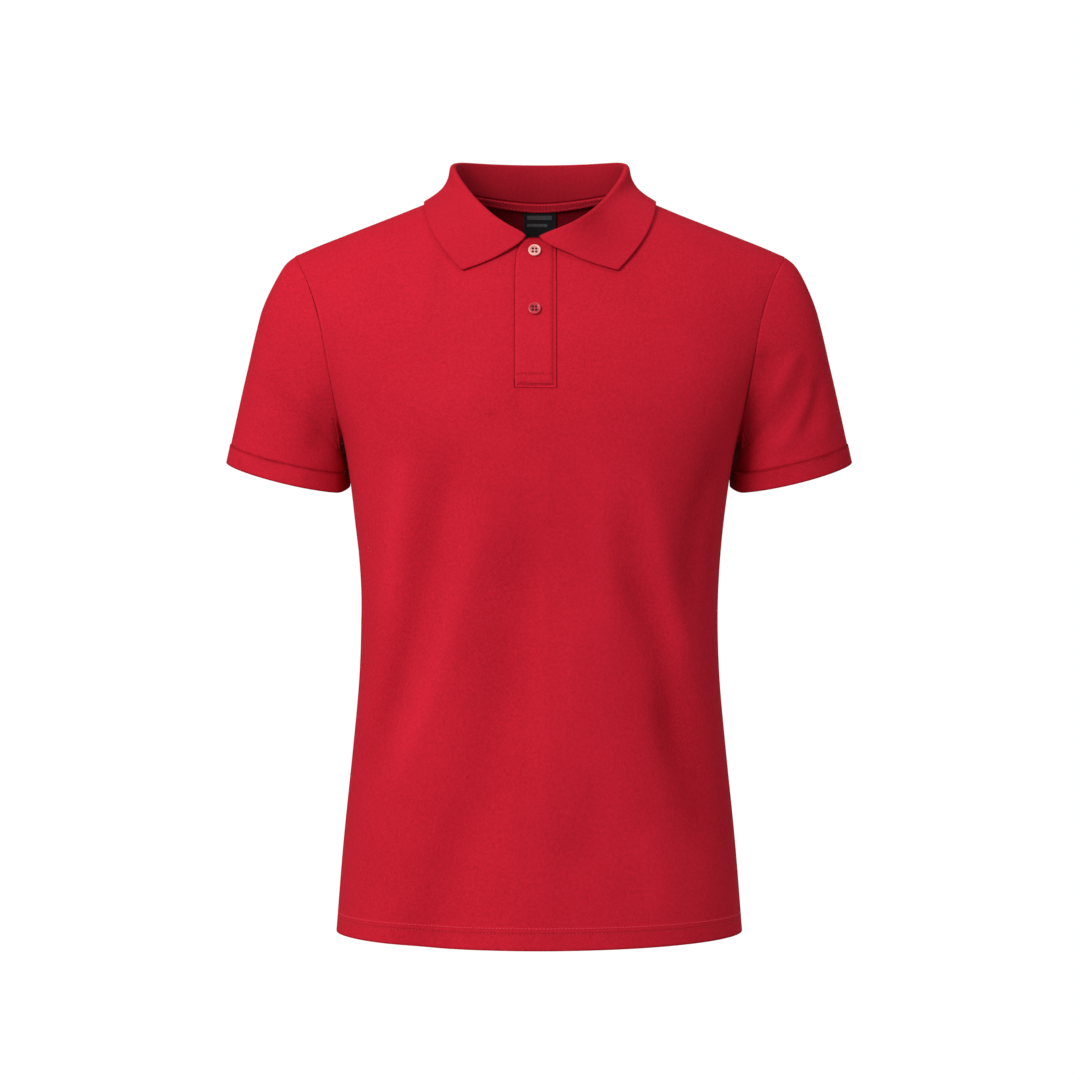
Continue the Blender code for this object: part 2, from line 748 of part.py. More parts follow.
def add_neck_trim(back):
    """Tape over the neck seam and the label under it, both inside the back."""
    normals = panel_normals(back, BACK)
    first = SHOULDER_COLUMNS + 1
    last = len(back[0]) - 2 - SHOULDER_COLUMNS
    centre = len(back[0]) // 2
    top = len(back) - 1

    def down(column, distance):
        """Row place at a distance below the neckline, measured along the cloth."""
        row = top
        while distance > 0:
            step = (back[row][column] - back[row - 1][column]).length
            if step >= distance:
                return row - distance / step
            distance -= step
            row -= 1
        return row

    def inside(column, row):
        away = on_grid(normals, column, row).normalized()
        return on_grid(back, column, row) - away * (CLOTH + LYING_GAP)

    tape = []
    for depth in (TAPE_DEPTH, TAPE_DEPTH / 2, SEAM_GAP):
        tape.append([inside(i, down(i, depth)) for i in range(first, last + 1)])
    cloth_wall("neck_tape", tape, TAPE_CLOTH, "rib", outward=-1)
    label = []
    for share in (1.0, 0.75, 0.5, 0.25, 0.0):
        depth = TAPE_DEPTH + SEAM_GAP + LABEL_DEPTH * share
        label.append([inside(centre + i, down(centre, depth)) for i in (-1, -0.5, 0, 0.5, 1)])
    cloth_wall("label", label, LABEL_CLOTH, "label", outward=-1)


def add_collar(front, back):
    edges = {FRONT: neck_edge(FRONT, front), BACK: neck_edge(BACK, back)}
    grid, normals = collar_grid(edges)
    cloth_wall("collar", grid, COLLAR_CLOTH, "rib", normals=normals)


def button_mesh():
    """Turned disc with a raised rim, its back at height 0."""
    bm = bmesh.new()
    profile = [bm.verts.new((step.radius * MM, 0, step.height * MM)) for step in BUTTON_PROFILE]
    edges = [bm.edges.new(pair) for pair in zip(profile, profile[1:])]
    bmesh.ops.spin(bm, geom=profile + edges, axis=(0, 0, 1), cent=(0, 0, 0),
                   steps=BUTTON_SIDES, angle=math.tau, use_merge=True)
    bmesh.ops.remove_doubles(bm, verts=bm.verts, dist=1e-6)
    bmesh.ops.recalc_face_normals(bm, faces=bm.faces)
    mesh = bpy.data.meshes.new("button")
    bm.to_mesh(mesh)
    bm.free()
    return mesh


def button_holes():
    """Four cutters for the holes, joined in one mesh."""
    bm = bmesh.new()
    for i in range(4):
        turn = math.tau * (i + 0.5) / 4
        reach = BUTTON_HOLE_REACH * math.sqrt(2) * MM
        centre = Vector((reach * math.cos(turn), reach * math.sin(turn), BUTTON_HEIGHT / 2 * MM))
        made = bmesh.ops.create_cone(bm, segments=10, radius1=BUTTON_HOLE_RADIUS * MM, cap_ends=True,
                                     radius2=BUTTON_HOLE_RADIUS * MM, depth=2 * BUTTON_HEIGHT * MM)
        bmesh.ops.translate(bm, verts=made["verts"], vec=centre)
    mesh = bpy.data.meshes.new("button_holes")
    bm.to_mesh(mesh)
    bm.free()
    return mesh


def add_buttons(placket):
    """Buttons on the middle line of the placket, square to its face."""
    normals = grid_normals(placket, 1)
    middle = 2
    for name, level in BUTTON_HEIGHTS.items():
        heights = [row[middle].z for row in placket]
        above = next(j for j, height in enumerate(heights) if height > level)
        row = above - 1 + (level - heights[above - 1]) / (heights[above] - heights[above - 1])
        place = on_grid(placket, middle, row)
        place.x = PLACKET_MIDDLE
        away = on_grid(normals, middle, row).normalized()
        button = add_object(name, button_mesh(), "cream" if name == "button_top" else "red_button", 0.35)
        button.location = (place + away * SEAM_GAP) * MM
        button.rotation_euler = away.to_track_quat("Z", "Y").to_euler()
        cutter = bpy.data.objects.new(name + "_holes", button_holes())
        cutter.location = button.location
        cutter.rotation_euler = button.rotation_euler
        cutter.hide_render = True
        cutter.display_type = "WIRE"
        bpy.context.scene.collection.objects.link(cutter)
        cut = button.modifiers.new("Holes", "BOOLEAN")
        cut.operation = "DIFFERENCE"
        cut.object = cutter


def build_shirt():
    for obj in list(bpy.data.objects):
        bpy.data.objects.remove(obj)
    front = panel_grid(FRONT)
    back = panel_grid(BACK)
    add_panel("front", FRONT, front)
    add_panel("back", BACK, back)
    add_sleeve("left", 1, front, back)
    add_sleeve("right", -1, front, back)
    add_collar(front, back)
    add_neck_trim(back)
    add_buttons(add_plackets(front))


build_shirt()
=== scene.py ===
import math

import bmesh
import bpy
import numpy as np
from mathutils import Matrix, Vector
from mathutils.bvhtree import BVHTree
from mathutils.kdtree import KDTree


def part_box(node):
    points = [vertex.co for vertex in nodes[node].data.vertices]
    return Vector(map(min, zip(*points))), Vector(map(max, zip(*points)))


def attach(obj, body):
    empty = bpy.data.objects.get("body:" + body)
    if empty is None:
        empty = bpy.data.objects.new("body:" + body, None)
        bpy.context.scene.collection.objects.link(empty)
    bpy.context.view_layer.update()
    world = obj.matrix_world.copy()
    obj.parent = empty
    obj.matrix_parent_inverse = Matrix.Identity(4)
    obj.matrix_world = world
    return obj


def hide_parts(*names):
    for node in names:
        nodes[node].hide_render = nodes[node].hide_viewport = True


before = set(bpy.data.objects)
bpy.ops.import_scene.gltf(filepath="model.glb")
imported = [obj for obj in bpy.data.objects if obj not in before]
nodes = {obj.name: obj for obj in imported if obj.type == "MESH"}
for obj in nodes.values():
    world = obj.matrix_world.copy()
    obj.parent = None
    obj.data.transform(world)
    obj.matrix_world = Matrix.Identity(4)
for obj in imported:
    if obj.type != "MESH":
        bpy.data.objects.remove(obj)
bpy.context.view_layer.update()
mm = 0.001


# Shader maths: a socket that can be added, multiplied and so on.
class Wire:
    def __init__(self, recipe, socket):
        self.recipe = recipe
        self.socket = socket

    def __add__(self, other):
        return self.recipe.maths("ADD", self, other)

    def __sub__(self, other):
        return self.recipe.maths("SUBTRACT", self, other)

    def __rsub__(self, other):
        return self.recipe.maths("SUBTRACT", other, self)

    def __mul__(self, other):
        return self.recipe.maths("MULTIPLY", self, other)


class Recipe:
    # a material being put together
    def __init__(self, name, finish):
        self.material = bpy.data.materials.new(name)
        self.material.use_nodes = True
        self.tree = self.material.node_tree
        self.shader = self.tree.nodes["Principled BSDF"]
        for socketName, value in finish.items():
            self.shader.inputs[socketName].default_value = value

    def node(self, kind, settings, sockets, output=0):
        made = self.tree.nodes.new(kind)
        for key, value in settings.items():
            setattr(made, key, value)
        for key, value in sockets.items():
            if isinstance(value, Wire):
                self.tree.links.new(value.socket, made.inputs[key])
            else:
                made.inputs[key].default_value = value
        return Wire(self, made.outputs[output])

    def maths(self, operation, first, second):
        return self.node("ShaderNodeMath", {"operation": operation}, {0: first, 1: second})

    def split(self, place):
        # the parts of a place that is in metres, in millimetres
        sized = self.node("ShaderNodeVectorMath", {"operation": "SCALE"},
                          {0: place, "Scale": 1000.0})
        parts = self.tree.nodes.new("ShaderNodeSeparateXYZ")
        self.tree.links.new(sized.socket, parts.inputs[0])
        return [Wire(self, output) for output in parts.outputs]

    def place(self):
        # where a point is on the shirt
        return self.split(self.node("ShaderNodeTexCoord", {}, {}, output="Object"))

    def grain(self):
        # across and along the knit
        return self.split(self.node("ShaderNodeUVMap", {"uv_map": "grain"}, {}))[:2]

    def swell(self, value, centre, width):
        # 1 where value is at the centre, fading out over the width
        away = (value - centre) * (1.0 / width)
        return self.maths("POWER", math.e, away * away * -1.0)

    def line(self, value, shape):
        # a soft line at a centre, with its width and strength
        centre, width, strength = shape
        return self.swell(value, centre, width) * strength

    def within(self, value, low, high):
        return self.maths("GREATER_THAN", value, low) * self.maths("LESS_THAN", value, high)

    def carried(self, name):
        # a value that the mesh carries: painted shade, in millimetres of crease depth, how far it
        # is to the cut edge in millimetres, or painted shade where a face looks to the inside
        return self.node("ShaderNodeAttribute", {"attribute_name": name}, {}, output="Fac")

    def wave(self, along, pitch):
        return self.node("ShaderNodeMath", {"operation": "COSINE"}, {0: along * (math.tau / pitch)})

    def noise(self, scale, detail=2.0):
        place = self.node("ShaderNodeTexCoord", {}, {}, output="Object")
        return self.node("ShaderNodeTexNoise", {},
                         {"Vector": place, "Scale": scale, "Detail": detail})

    def blend(self, factor, first, second):
        # sockets 6 and 7 of a mix are its two colours
        return self.node("ShaderNodeMix", {"data_type": "RGBA"}, {0: factor, 6: first, 7: second},
                         output=2)

    def feed(self, socketName, wire):
        self.tree.links.new(wire.socket, self.shader.inputs[socketName])

    def relief(self, height, depth):
        self.feed("Normal", self.node("ShaderNodeBump", {}, {"Height": height, "Distance": depth}))


# Where the rows of stitches run, in millimetres: two round the hem, one inside each edge of the
# placket and one across it.
sewing = {"hemRows": (-681.6, -686.4), "insetLeft": 4.1, "insetRight": 2.2, "insetFoot": 2.6,
          "placketRow": -179.0, "placketTop": -50.0, "placketFoot": -191.5, "dentWidth": 0.9}
# Cut edges and rows of stitches on each kind of piece, and the painted shade and painted highlights
# along them. A pair is a stretch of the shirt across, up or deep, from low to high. A triple is a
# soft line: how far it is from the edge and its width, both in millimetres, and its strength.
placketEdge = {
    "left": (-40.0, -9.0), "right": (4.0, 40.0), "foot": -200.0, "wide": 40.0,
    "leftDent": 0.6, "rightDent": 0.5, "rowDent": 1.5, "leftShade": 0.6,
    "leftLit": (2.1, 1.0, 0.16), "rightLit": (0.0, 1.2, 0.4), "footLit": (0.0, 1.2, 0.35),
    "topWidth": 12.0, "topShade": 0.55,
}
bodyEdge = {
    "slitAcross": (-30.0, 22.0), "slitUp": (-205.0, -40.0), "slitDeep": (-200.0, -40.0),
    "armAcross": (-260.0, -150.0), "armUp": (-242.0, -104.0), "armLit": (1.7, 0.8, 0.22),
    "hemUp": (-720.0, -690.0), "hemShade": (0.0, 1.5, 0.6), "lowDent": 1.1, "highDent": 0.6,
}
sleeveEdge = {
    "bandUp": (-300.0, -215.0), "bandDent": (0.0, 1.4, 1.0),
    "armAcross": (150.0, 236.0), "armUp": (-195.0, -70.0), "armLit": (1.5, 0.9, 0.26),
}
shoulderEdge = {"up": (-104.0, 60.0), "fade": 0.85}

# How red knit takes its colour, with painted shade. Where the creases draw it in by more than the
# shade fold's start, and on faces inside the shirt, it goes over to a near-black painted shade
# colour.
redKnit = {
    "finish": {"Specular IOR Level": 0.035, "Sheen Weight": 0.006, "Sheen Roughness": 0.5,
               "Sheen Tint": (1.0, 0.25, 0.3, 1.0)},
    "deep": (0.07, 0.001, 0.003, 1.0), "shade": 0.085, "middle": 0.5, "spread": 0.2,
    "deepFold": {"from": 6.0, "to": 40.0, "gain": 0.08},
}
piqueLook = {
    "light": (0.715, 0.0185, 0.0425, 1.0), "dark": (0.40, 0.0076, 0.0190, 1.0),
    "cellAcross": 1.9, "cellAlong": 1.5, "yarn": 0.62, "slant": 0.5, "relief": 0.0002,
    # rimShade is painted shade along the cut edges and seams
    "rimWidth": 1.1, "rimShade": 0.34, "rough": 0.84,
    "fuzz": (1300.0, 2.0), "slub": (430.0, 3.0), "cloud": (11.0, 3.0),
    "heights": {"cells": 0.5, "yarns": 0.14, "fuzz": 0.8, "slub": 1.4, "dents": -1.9},
    # the dents' tone is painted shade in stitch grooves and a painted highlight on raised rows
    "tones": {"cells": 0.09, "fuzz": 0.55, "slub": 0.75, "cloud": 0.4, "dents": -0.2},
}
ribLook = {
    "light": (0.70, 0.0182, 0.042, 1.0), "dark": (0.385, 0.0075, 0.0185, 1.0),
    "ribPitch": 1.25, "coursePitch": 0.95, "relief": 0.00018,
    # rimShade is painted shade along the cut edges
    "rimWidth": 1.1, "rimShade": 0.12, "rough": 0.82,
    "fuzz": (1500.0, 2.0), "slub": (430.0, 3.0), "cloud": (12.0, 3.0),
    "heights": {"ribs": 0.5, "loops": 0.2, "fuzz": 0.7, "slub": 1.0},
    "tones": {"ribs": 0.1, "fuzz": 0.5, "slub": 0.6, "cloud": 0.4},
}


def uneven(recipe, look):
    # the yarn's unevenness, from fine to coarse
    return {name: recipe.noise(*look[name]) - 0.5 for name in ("fuzz", "slub", "cloud")}


def weigh(signals, weights):
    total = None
    for name, weight in weights.items():
        share = signals[name] * weight
        total = share if total is None else total + share
    return total


def dyeKnit(recipe, look, signals, paintedEdgeShade):
    # relief, colour and roughness of red knit, with painted shade and painted highlights in its
    # colour
    paintedShading = recipe.carried("paintedShading")
    drawn = redKnit["deepFold"]
    recipe.relief(weigh(signals, look["heights"]), look["relief"])
    tone = weigh(signals, look["tones"]) + redKnit["middle"] - paintedShading * redKnit["shade"] - paintedEdgeShade
    cloth = recipe.blend(tone, look["dark"], look["light"])
    folded = recipe.within(paintedShading, drawn["from"], drawn["to"]) * drawn["gain"]
    # how far the colour goes over to painted shade: on faces inside and in the deepest creases
    depth = recipe.carried("inner") + (paintedShading - drawn["from"]) * folded
    recipe.feed("Base Color", recipe.blend(depth, cloth, redKnit["deep"]))
    recipe.feed("Roughness", signals["fuzz"] * redKnit["spread"] + look["rough"])
    return recipe.material


def placketDentsAndShade(recipe, paintedEdgeShade, rim, spot):
    # stitch dents, painted shade on the left edge, painted highlights along the edges and foot, and
    # a painted shadow under the collar at the placket's top
    x, y, z = spot
    trim, dent = placketEdge, sewing["dentWidth"]
    foot = sewing["placketFoot"] + sewing["insetFoot"]
    left, right = recipe.within(x, *trim["left"]), recipe.within(x, *trim["right"])
    beside = recipe.within(z, foot, 0.0)
    dents = recipe.line(rim, (sewing["insetLeft"], dent, trim["leftDent"])) * left
    dents = dents + recipe.line(rim, (sewing["insetRight"], dent, trim["rightDent"])) * right
    rows = recipe.swell(z, sewing["placketRow"], dent) + recipe.swell(z, foot, dent)
    inside = recipe.within(rim, sewing["insetRight"], trim["wide"])
    dents = dents * beside + rows * inside * trim["rowDent"]
    lit = recipe.line(rim, trim["leftLit"]) * left + recipe.line(rim, trim["rightLit"]) * right
    lit = lit + recipe.line(rim, trim["footLit"]) * recipe.within(z, trim["foot"], foot)
    top = recipe.line(z, (sewing["placketTop"], trim["topWidth"], trim["topShade"]))
    return dents, paintedEdgeShade * left * trim["leftShade"] - lit + top


def bodyDentsAndShade(recipe, paintedEdgeShade, rim, spot):
    # stitch dents at the hem; painted shade along the cut edges, darkest at the hem's foot, but not
    # round the placket's slit or on the shoulders; a painted highlight beside the armhole
    x, y, z = spot
    trim = bodyEdge
    high, low = [recipe.swell(z, row, sewing["dentWidth"]) for row in sewing["hemRows"]]
    dents = low * trim["lowDent"] - high * trim["highDent"]
    slit = recipe.within(x, *trim["slitAcross"]) * recipe.within(z, *trim["slitUp"])
    slit = slit * recipe.within(y, *trim["slitDeep"])
    arm = recipe.within(x, *trim["armAcross"]) * recipe.within(z, *trim["armUp"])
    shoulder = recipe.within(z, *shoulderEdge["up"]) * shoulderEdge["fade"]
    hem = recipe.line(rim, trim["hemShade"]) * recipe.within(z, *trim["hemUp"])
    lit = recipe.line(rim, trim["armLit"]) * arm
    return dents, paintedEdgeShade * (1.0 - slit) * (1.0 - shoulder) + hem - lit


def sleeveDentsAndShade(recipe, paintedEdgeShade, rim, spot):
    # a dent with painted shade beside the cuff seam, painted shade along the cut edges but not on
    # the shoulders, and a painted highlight beside the armhole
    x, y, z = spot
    trim = sleeveEdge
    dents = recipe.line(rim, trim["bandDent"]) * recipe.within(z, *trim["bandUp"])
    arm = recipe.within(x, *trim["armAcross"]) * recipe.within(z, *trim["armUp"])
    shoulder = recipe.within(z, *shoulderEdge["up"]) * shoulderEdge["fade"]
    return dents, paintedEdgeShade * (1.0 - shoulder) - recipe.line(rim, trim["armLit"]) * arm


def piqueCloth(name, look, trim):
    recipe = Recipe(name, redKnit["finish"])
    across, along = recipe.grain()
    rim = recipe.carried("rim")
    signals = uneven(recipe, look)
    signals["cells"] = (recipe.wave(across, look["cellAcross"])
                        * recipe.wave(along, look["cellAlong"]))
    signals["yarns"] = recipe.wave(across + along * look["slant"], look["yarn"])
    # painted shade along the cut edges
    paintedEdgeShade = recipe.line(rim, (0.0, look["rimWidth"], look["rimShade"]))
    signals["dents"], paintedEdgeShade = trim(recipe, paintedEdgeShade, rim, recipe.place())
    return dyeKnit(recipe, look, signals, paintedEdgeShade)


def ribCloth(name, look):
    recipe = Recipe(name, redKnit["finish"])
    across, along = recipe.grain()
    signals = uneven(recipe, look)
    signals["ribs"] = recipe.wave(across, look["ribPitch"])
    signals["loops"] = signals["ribs"] * recipe.wave(along, look["coursePitch"])
    # painted shade along the cut edges
    paintedEdgeShade = recipe.line(recipe.carried("rim"), (0.0, look["rimWidth"], look["rimShade"]))
    return dyeKnit(recipe, look, signals, paintedEdgeShade)


labelLook = {
    "light": (0.016, 0.016, 0.018, 1.0), "dark": (0.006, 0.006, 0.007, 1.0),
    "bar": (0.13, 0.135, 0.14, 1.0), "threadPitch": 0.5, "relief": 0.00005, "barHeight": 1.5,
    "weaveTone": 0.4, "cloud": (300.0, 0.8), "speckle": (900.0, 0.9, 0.2),
    "bars": ({"x": (-12.6, 11.6), "z": (-17.4, -13.6)}, {"x": (-12.6, 7.2), "z": (-23.6, -21.0)}),
    "finish": {"Roughness": 0.6, "Specular IOR Level": 0.35},
}


def wovenCloth(name, look):
    recipe = Recipe(name, look["finish"])
    across, along = recipe.grain()
    x, y, z = recipe.place()
    weave = recipe.wave(across, look["threadPitch"]) * recipe.wave(along, look["threadPitch"])
    first, second = [recipe.within(x, *bar["x"]) * recipe.within(z, *bar["z"])
                     for bar in look["bars"]]
    bars = first + second
    recipe.relief(weave + bars * look["barHeight"], look["relief"])
    cloudScale, cloudTone = look["cloud"]
    tone = weave * look["weaveTone"] + recipe.noise(cloudScale) * cloudTone
    ground = recipe.blend(tone, look["dark"], look["light"])
    speckleScale, speckleTone, speckleLeast = look["speckle"]
    speckle = recipe.noise(speckleScale) * speckleTone + speckleLeast
    recipe.feed("Base Color", recipe.blend(bars * speckle, ground, look["bar"]))
    return recipe.material


# The top button's paler colours are a painted highlight on the same resin as the red button. The
# dish of each button is darkened by painted shade.
buttonLook = {
    "cream": {"light": (0.95, 0.55, 0.46, 1.0), "dark": (0.62, 0.16, 0.15, 1.0)},
    "red": {"light": (0.62, 0.035, 0.06, 1.0), "dark": (0.38, 0.012, 0.026, 1.0)},
    "finish": {"Specular IOR Level": 0.5, "Coat Weight": 0.15, "Coat Roughness": 0.2},
    "swirl": (420.0, 4.0), "lift": 0.3, "dishShade": 0.45, "relief": 0.00003,
    "haze": 900.0, "hazeSpread": 0.12, "smoothest": 0.26,
}


def resin(name, shades, look):
    recipe = Recipe(name, look["finish"])
    swirl = recipe.noise(*look["swirl"])
    # painted shade in the dish
    tone = swirl + look["lift"] - recipe.carried("paintedShading") * look["dishShade"]
    recipe.feed("Base Color", recipe.blend(tone, shades["dark"], shades["light"]))
    recipe.feed("Roughness", recipe.noise(look["haze"]) * look["hazeSpread"] + look["smoothest"])
    recipe.relief(swirl, look["relief"])
    return recipe.material


# Thread in the cloth's red, a paler copy as a painted highlight on rows that stand out, and a
# near-black copy as painted shadow down in the buttons' holes.
threadLook = {
    "paintedLight": {"light": (0.86, 0.055, 0.085, 1.0), "dark": (0.70, 0.03, 0.055, 1.0)},
    "deep": {"light": (0.12, 0.008, 0.013, 1.0), "dark": (0.06, 0.004, 0.007, 1.0)},
    "cloth": {"light": (0.70, 0.02, 0.045, 1.0), "dark": (0.55, 0.013, 0.03, 1.0)},
    "finish": {"Roughness": 0.6, "Specular IOR Level": 0.3}, "twist": 2600.0, "relief": 0.00005,
}


def sewingThread(name, shades, look):
    recipe = Recipe(name, look["finish"])
    twist = recipe.noise(look["twist"])
    recipe.feed("Base Color", recipe.blend(twist, shades["dark"], shades["light"]))
    recipe.relief(twist, look["relief"])
    return recipe.material


bodyPique = piqueCloth("piqueBody", piqueLook, bodyDentsAndShade)
sleevePique = piqueCloth("piqueSleeve", piqueLook, sleeveDentsAndShade)
placketPique = piqueCloth("piquePlacket", piqueLook, placketDentsAndShade)
rib = ribCloth("flatRibKnit", ribLook)
# The bands take deeper and wider painted shade along their cut edges, for a dark cuff seam.
bandRib = ribCloth("bandRibKnit", {**ribLook, "rimShade": 0.6, "rimWidth": 1.5})
labelCloth = wovenCloth("labelSatin", labelLook)
creamResin = resin("creamResin", buttonLook["cream"], buttonLook)
redResin = resin("redResin", buttonLook["red"], buttonLook)
paintedLightThread = sewingThread("paintedLightRedThread", threadLook["paintedLight"], threadLook)
clothThread = sewingThread("redThread", threadLook["cloth"], threadLook)
deepThread = sewingThread("deepRedThread", threadLook["deep"], threadLook)
print("materials ready")


def fold(face, width, depth, *path, runsOut=False, dark=1.0):
    # a crease through points on the front or the back, each given by x and z in millimetres: width
    # is its spread, and depth how far it draws the cloth in, or lifts it out where it is below 0
    # dark scales the shade painted along the crease
    return {"side": -1 if face == "front" else 1, "width": width, "depth": depth, "path": path,
            "runsOut": runsOut, "dark": dark}


bodyCreases = [
    fold("front", 9, -2.2, (-123, -229), (-129, -293), (-137, -357), (-145, -422)),
    fold("front", 11, 3.6, (-79, -225), (-94, -284), (-109, -348), (-126, -422), (-143, -487),
         (-163, -558)),
    fold("front", 10, -2.2, (-48, -275), (-63, -339), (-79, -403), (-100, -467), (-126, -527),
         (-155, -581)),
    fold("front", 17, 2.9, (0, -262), (-11, -318), (-24, -380), (-36, -444), (-50, -508),
         (-68, -570), (-92, -631), (-112, -696), runsOut=True),
    fold("front", 12, -0.8, (38, -360), (26, -430), (14, -500), (0, -566), (-14, -638)),
    fold("front", 12, 1.5, (55, -530), (44, -584), (30, -638)),
    fold("front", 11, -1.2, (55, -239), (57, -312), (59, -384), (61, -457)),
    fold("front", 10, 3.2, (81, -280), (82, -348), (92, -388), (110, -432), (117, -475),
         (122, -521), (138, -590)),
    fold("front", 9, -2.0, (86, -239), (103, -302), (117, -366), (130, -420), (140, -458)),
    fold("front", 12, 2.6, (178, -228), (160, -262), (145, -310), (138, -367), (142, -430)),
    fold("front", 16, 2.4, (112, -440), (126, -500), (140, -560), (152, -630)),
    fold("front", 12, -1.4, (92, -585), (106, -631), (114, -686)),
    fold("back", 11, 3.6, (-70, -215), (-96, -330), (-128, -470), (-150, -570)),
    fold("back", 9, -2.2, (-104, -240), (-128, -330), (-147, -430)),
    fold("back", 12, -2.0, (-30, -260), (-44, -380), (-70, -500), (-104, -610)),
    fold("back", 15, 2.8, (20, -320), (2, -430), (-22, -560), (-36, -660)),
    fold("back", 11, 3.8, (84, -230), (100, -330), (124, -460), (146, -590)),
    fold("back", 13, -2.0, (56, -330), (68, -460), (84, -590), (96, -670)),
    fold("back", 9, -2.0, (130, -240), (142, -330), (152, -420)),
    fold("back", 13, 1.2, (-64, -104), (0, -118), (66, -102)),
    fold("back", 9, 2.2, (-160, -250), (-170, -330), (-176, -410)),
]
sleeveCreases = {
    "sleeve_left": [
        fold("front", 5, -1.5, (241, -148), (235, -164), (226, -183), (215, -206)),
        fold("front", 5.5, -1.9, (256, -178), (252, -194), (244, -215), (229, -237), (215, -250)),
        fold("front", 6, 2.1, (264, -172), (259, -192), (252, -214), (243, -238)),
        fold("front", 5, 0.9, (251, -156), (245, -176), (236, -202)),
        fold("front", 9, 2.2, (198, -186), (194, -216), (190, -250), (188, -268), runsOut=True,
             dark=3.6),
        fold("front", 6, -0.9, (274, -196), (269, -218), (262, -242)),
        fold("front", 8, 2.7, (216, -144), (203, -178), (192, -210)),
        fold("back", 9, 2.2, (226, -150), (220, -190), (214, -236)),
        fold("back", 8, -1.4, (256, -160), (252, -200), (244, -244)),
    ],
    "sleeve_right": [
        fold("front", 8, 1.8, (-204, -186), (-207, -222), (-212, -258)),
        fold("front", 9, -1.0, (-262, -150), (-258, -190), (-250, -238)),
        fold("back", 9, 2.2, (-230, -150), (-224, -190), (-216, -240)),
        fold("back", 8, -1.4, (-258, -156), (-250, -200), (-240, -246)),
    ],
}
# A crease is a curve of steps that fades over the taper, a share of its length, at its ends, and
# reaches this many widths aside. Rays look for the cloth from a point this far out.
creaseForm = {"steps": 18, "taper": 0.28, "reach": 4, "castFrom": 500.0}


def part(values):
    # kept from 0 to 1
    return np.clip(values, 0.0, 1.0)


def ease(share):
    return share * share * (3 - 2 * share)


def unit(vectors):
    return vectors / np.maximum(np.linalg.norm(vectors, axis=1, keepdims=True), 1e-9)


def clothTree(meshes):
    # one tree to cast rays at
    corners, faces = [], []
    for mesh in meshes:
        start = len(corners)
        corners += [vertex.co.copy() for vertex in mesh.vertices]
        faces += [[start + index for index in face.vertices] for face in mesh.polygons]
    return BVHTree.FromPolygons(corners, faces)


def smoothPath(path, count):
    # an even curve through the points
    points = [Vector(point) for point in path]
    ends = [points[0] * 2 - points[1]] + points + [points[-1] * 2 - points[-2]]
    curve = []
    for step in range(count):
        at = step / (count - 1) * (len(points) - 1)
        index = min(int(at), len(points) - 2)
        t = at - index
        a, b, c, d = ends[index:index + 4]
        curve.append((b * 2 + (c - a) * t + (a * 2 - b * 5 + c * 4 - d) * t ** 2
                      + (b * 3 - a - c * 3 + d) * t ** 3) * 0.5)
    return curve


def layCreases(table, tree):
    # the creases as lines on the cloth
    lines = []
    for crease in table:
        curve = []
        for x, z in smoothPath(crease["path"], creaseForm["steps"]):
            start = Vector((x, crease["side"] * creaseForm["castFrom"], z)) * mm
            hit = tree.ray_cast(start, Vector((0.0, -crease["side"], 0.0)))[0]
            if hit is None:
                hit = tree.find_nearest(Vector((x, 0.0, z)) * mm)[0]
            curve.append(np.array(hit) / mm)
        lines.append({**crease, "curve": np.array(curve)})
    return lines


def creaseDepth(points, lines):
    # how far the creases draw each point in, and how much shade is painted on it
    total, shade = np.zeros(len(points)), np.zeros(len(points))
    for line in lines:
        curve, reach = line["curve"], line["width"] * creaseForm["reach"]
        close = np.all((points > curve.min(axis=0) - reach)
                       & (points < curve.max(axis=0) + reach), axis=1)
        near = points[close]
        gap = np.full(len(near), 1e9)
        share = np.zeros(len(near))
        for index in range(len(curve) - 1):
            step = curve[index + 1] - curve[index]
            along = part((near - curve[index]) @ step / (step @ step))
            away = np.linalg.norm(near - curve[index] - along[:, None] * step, axis=1)
            share = np.where(away < gap, (index + along) / (len(curve) - 1), share)
            gap = np.minimum(away, gap)
        fromEnds = share if line["runsOut"] else np.minimum(share, 1 - share)
        taper = ease(part(fromEnds / creaseForm["taper"]))
        sunk = line["depth"] * taper * np.exp(-0.5 * (gap / line["width"]) ** 2)
        total[close] += sunk
        shade[close] += sunk * line["dark"]
    return total, shade


bodyLines = layCreases(bodyCreases, clothTree([nodes["front"].data, nodes["back"].data]))
bodyForm = {"halfWidth": 190.0, "halfDepth": 118.0, "hemDrop": 1.8, "dropTop": -640.0,
            "dropHeight": 60.0, "wideRight": 1.4, "wideTop": -250.0}
shoulderForm = {"neck": 83.0, "high": 0.6, "slope": 0.391, "reach": 25.0, "left": 1.4, "right": 0.6,
                "corner": 232.0, "cornerWidth": 14.0, "cornerDrop": 0.9}
armForm = {"top": (185.0, 5.0, -60.0), "end": (238.5, 27.0, -270.0), "from": 0.12, "over": 0.22,
           "left": 3.4, "right": 5.2, "power": 1.5}


def roundShoulder(points):
    # the cloth slopes over the shoulder and turns into the sleeve without a corner
    away = np.abs(points[:, 0])
    ridge = shoulderForm["high"] - shoulderForm["slope"] * (away - shoulderForm["neck"])
    near = part((points[:, 2] - ridge) / shoulderForm["reach"] + 1)
    begun = part((away - shoulderForm["neck"]) / (2 * shoulderForm["reach"]))
    corner = np.exp(-((away - shoulderForm["corner"]) / shoulderForm["cornerWidth"]) ** 2)
    drop = np.where(points[:, 0] > 0, shoulderForm["left"], shoulderForm["right"])
    moved = points.copy()
    moved[:, 2] -= near * near * begun * (drop + shoulderForm["cornerDrop"] * corner)
    return moved


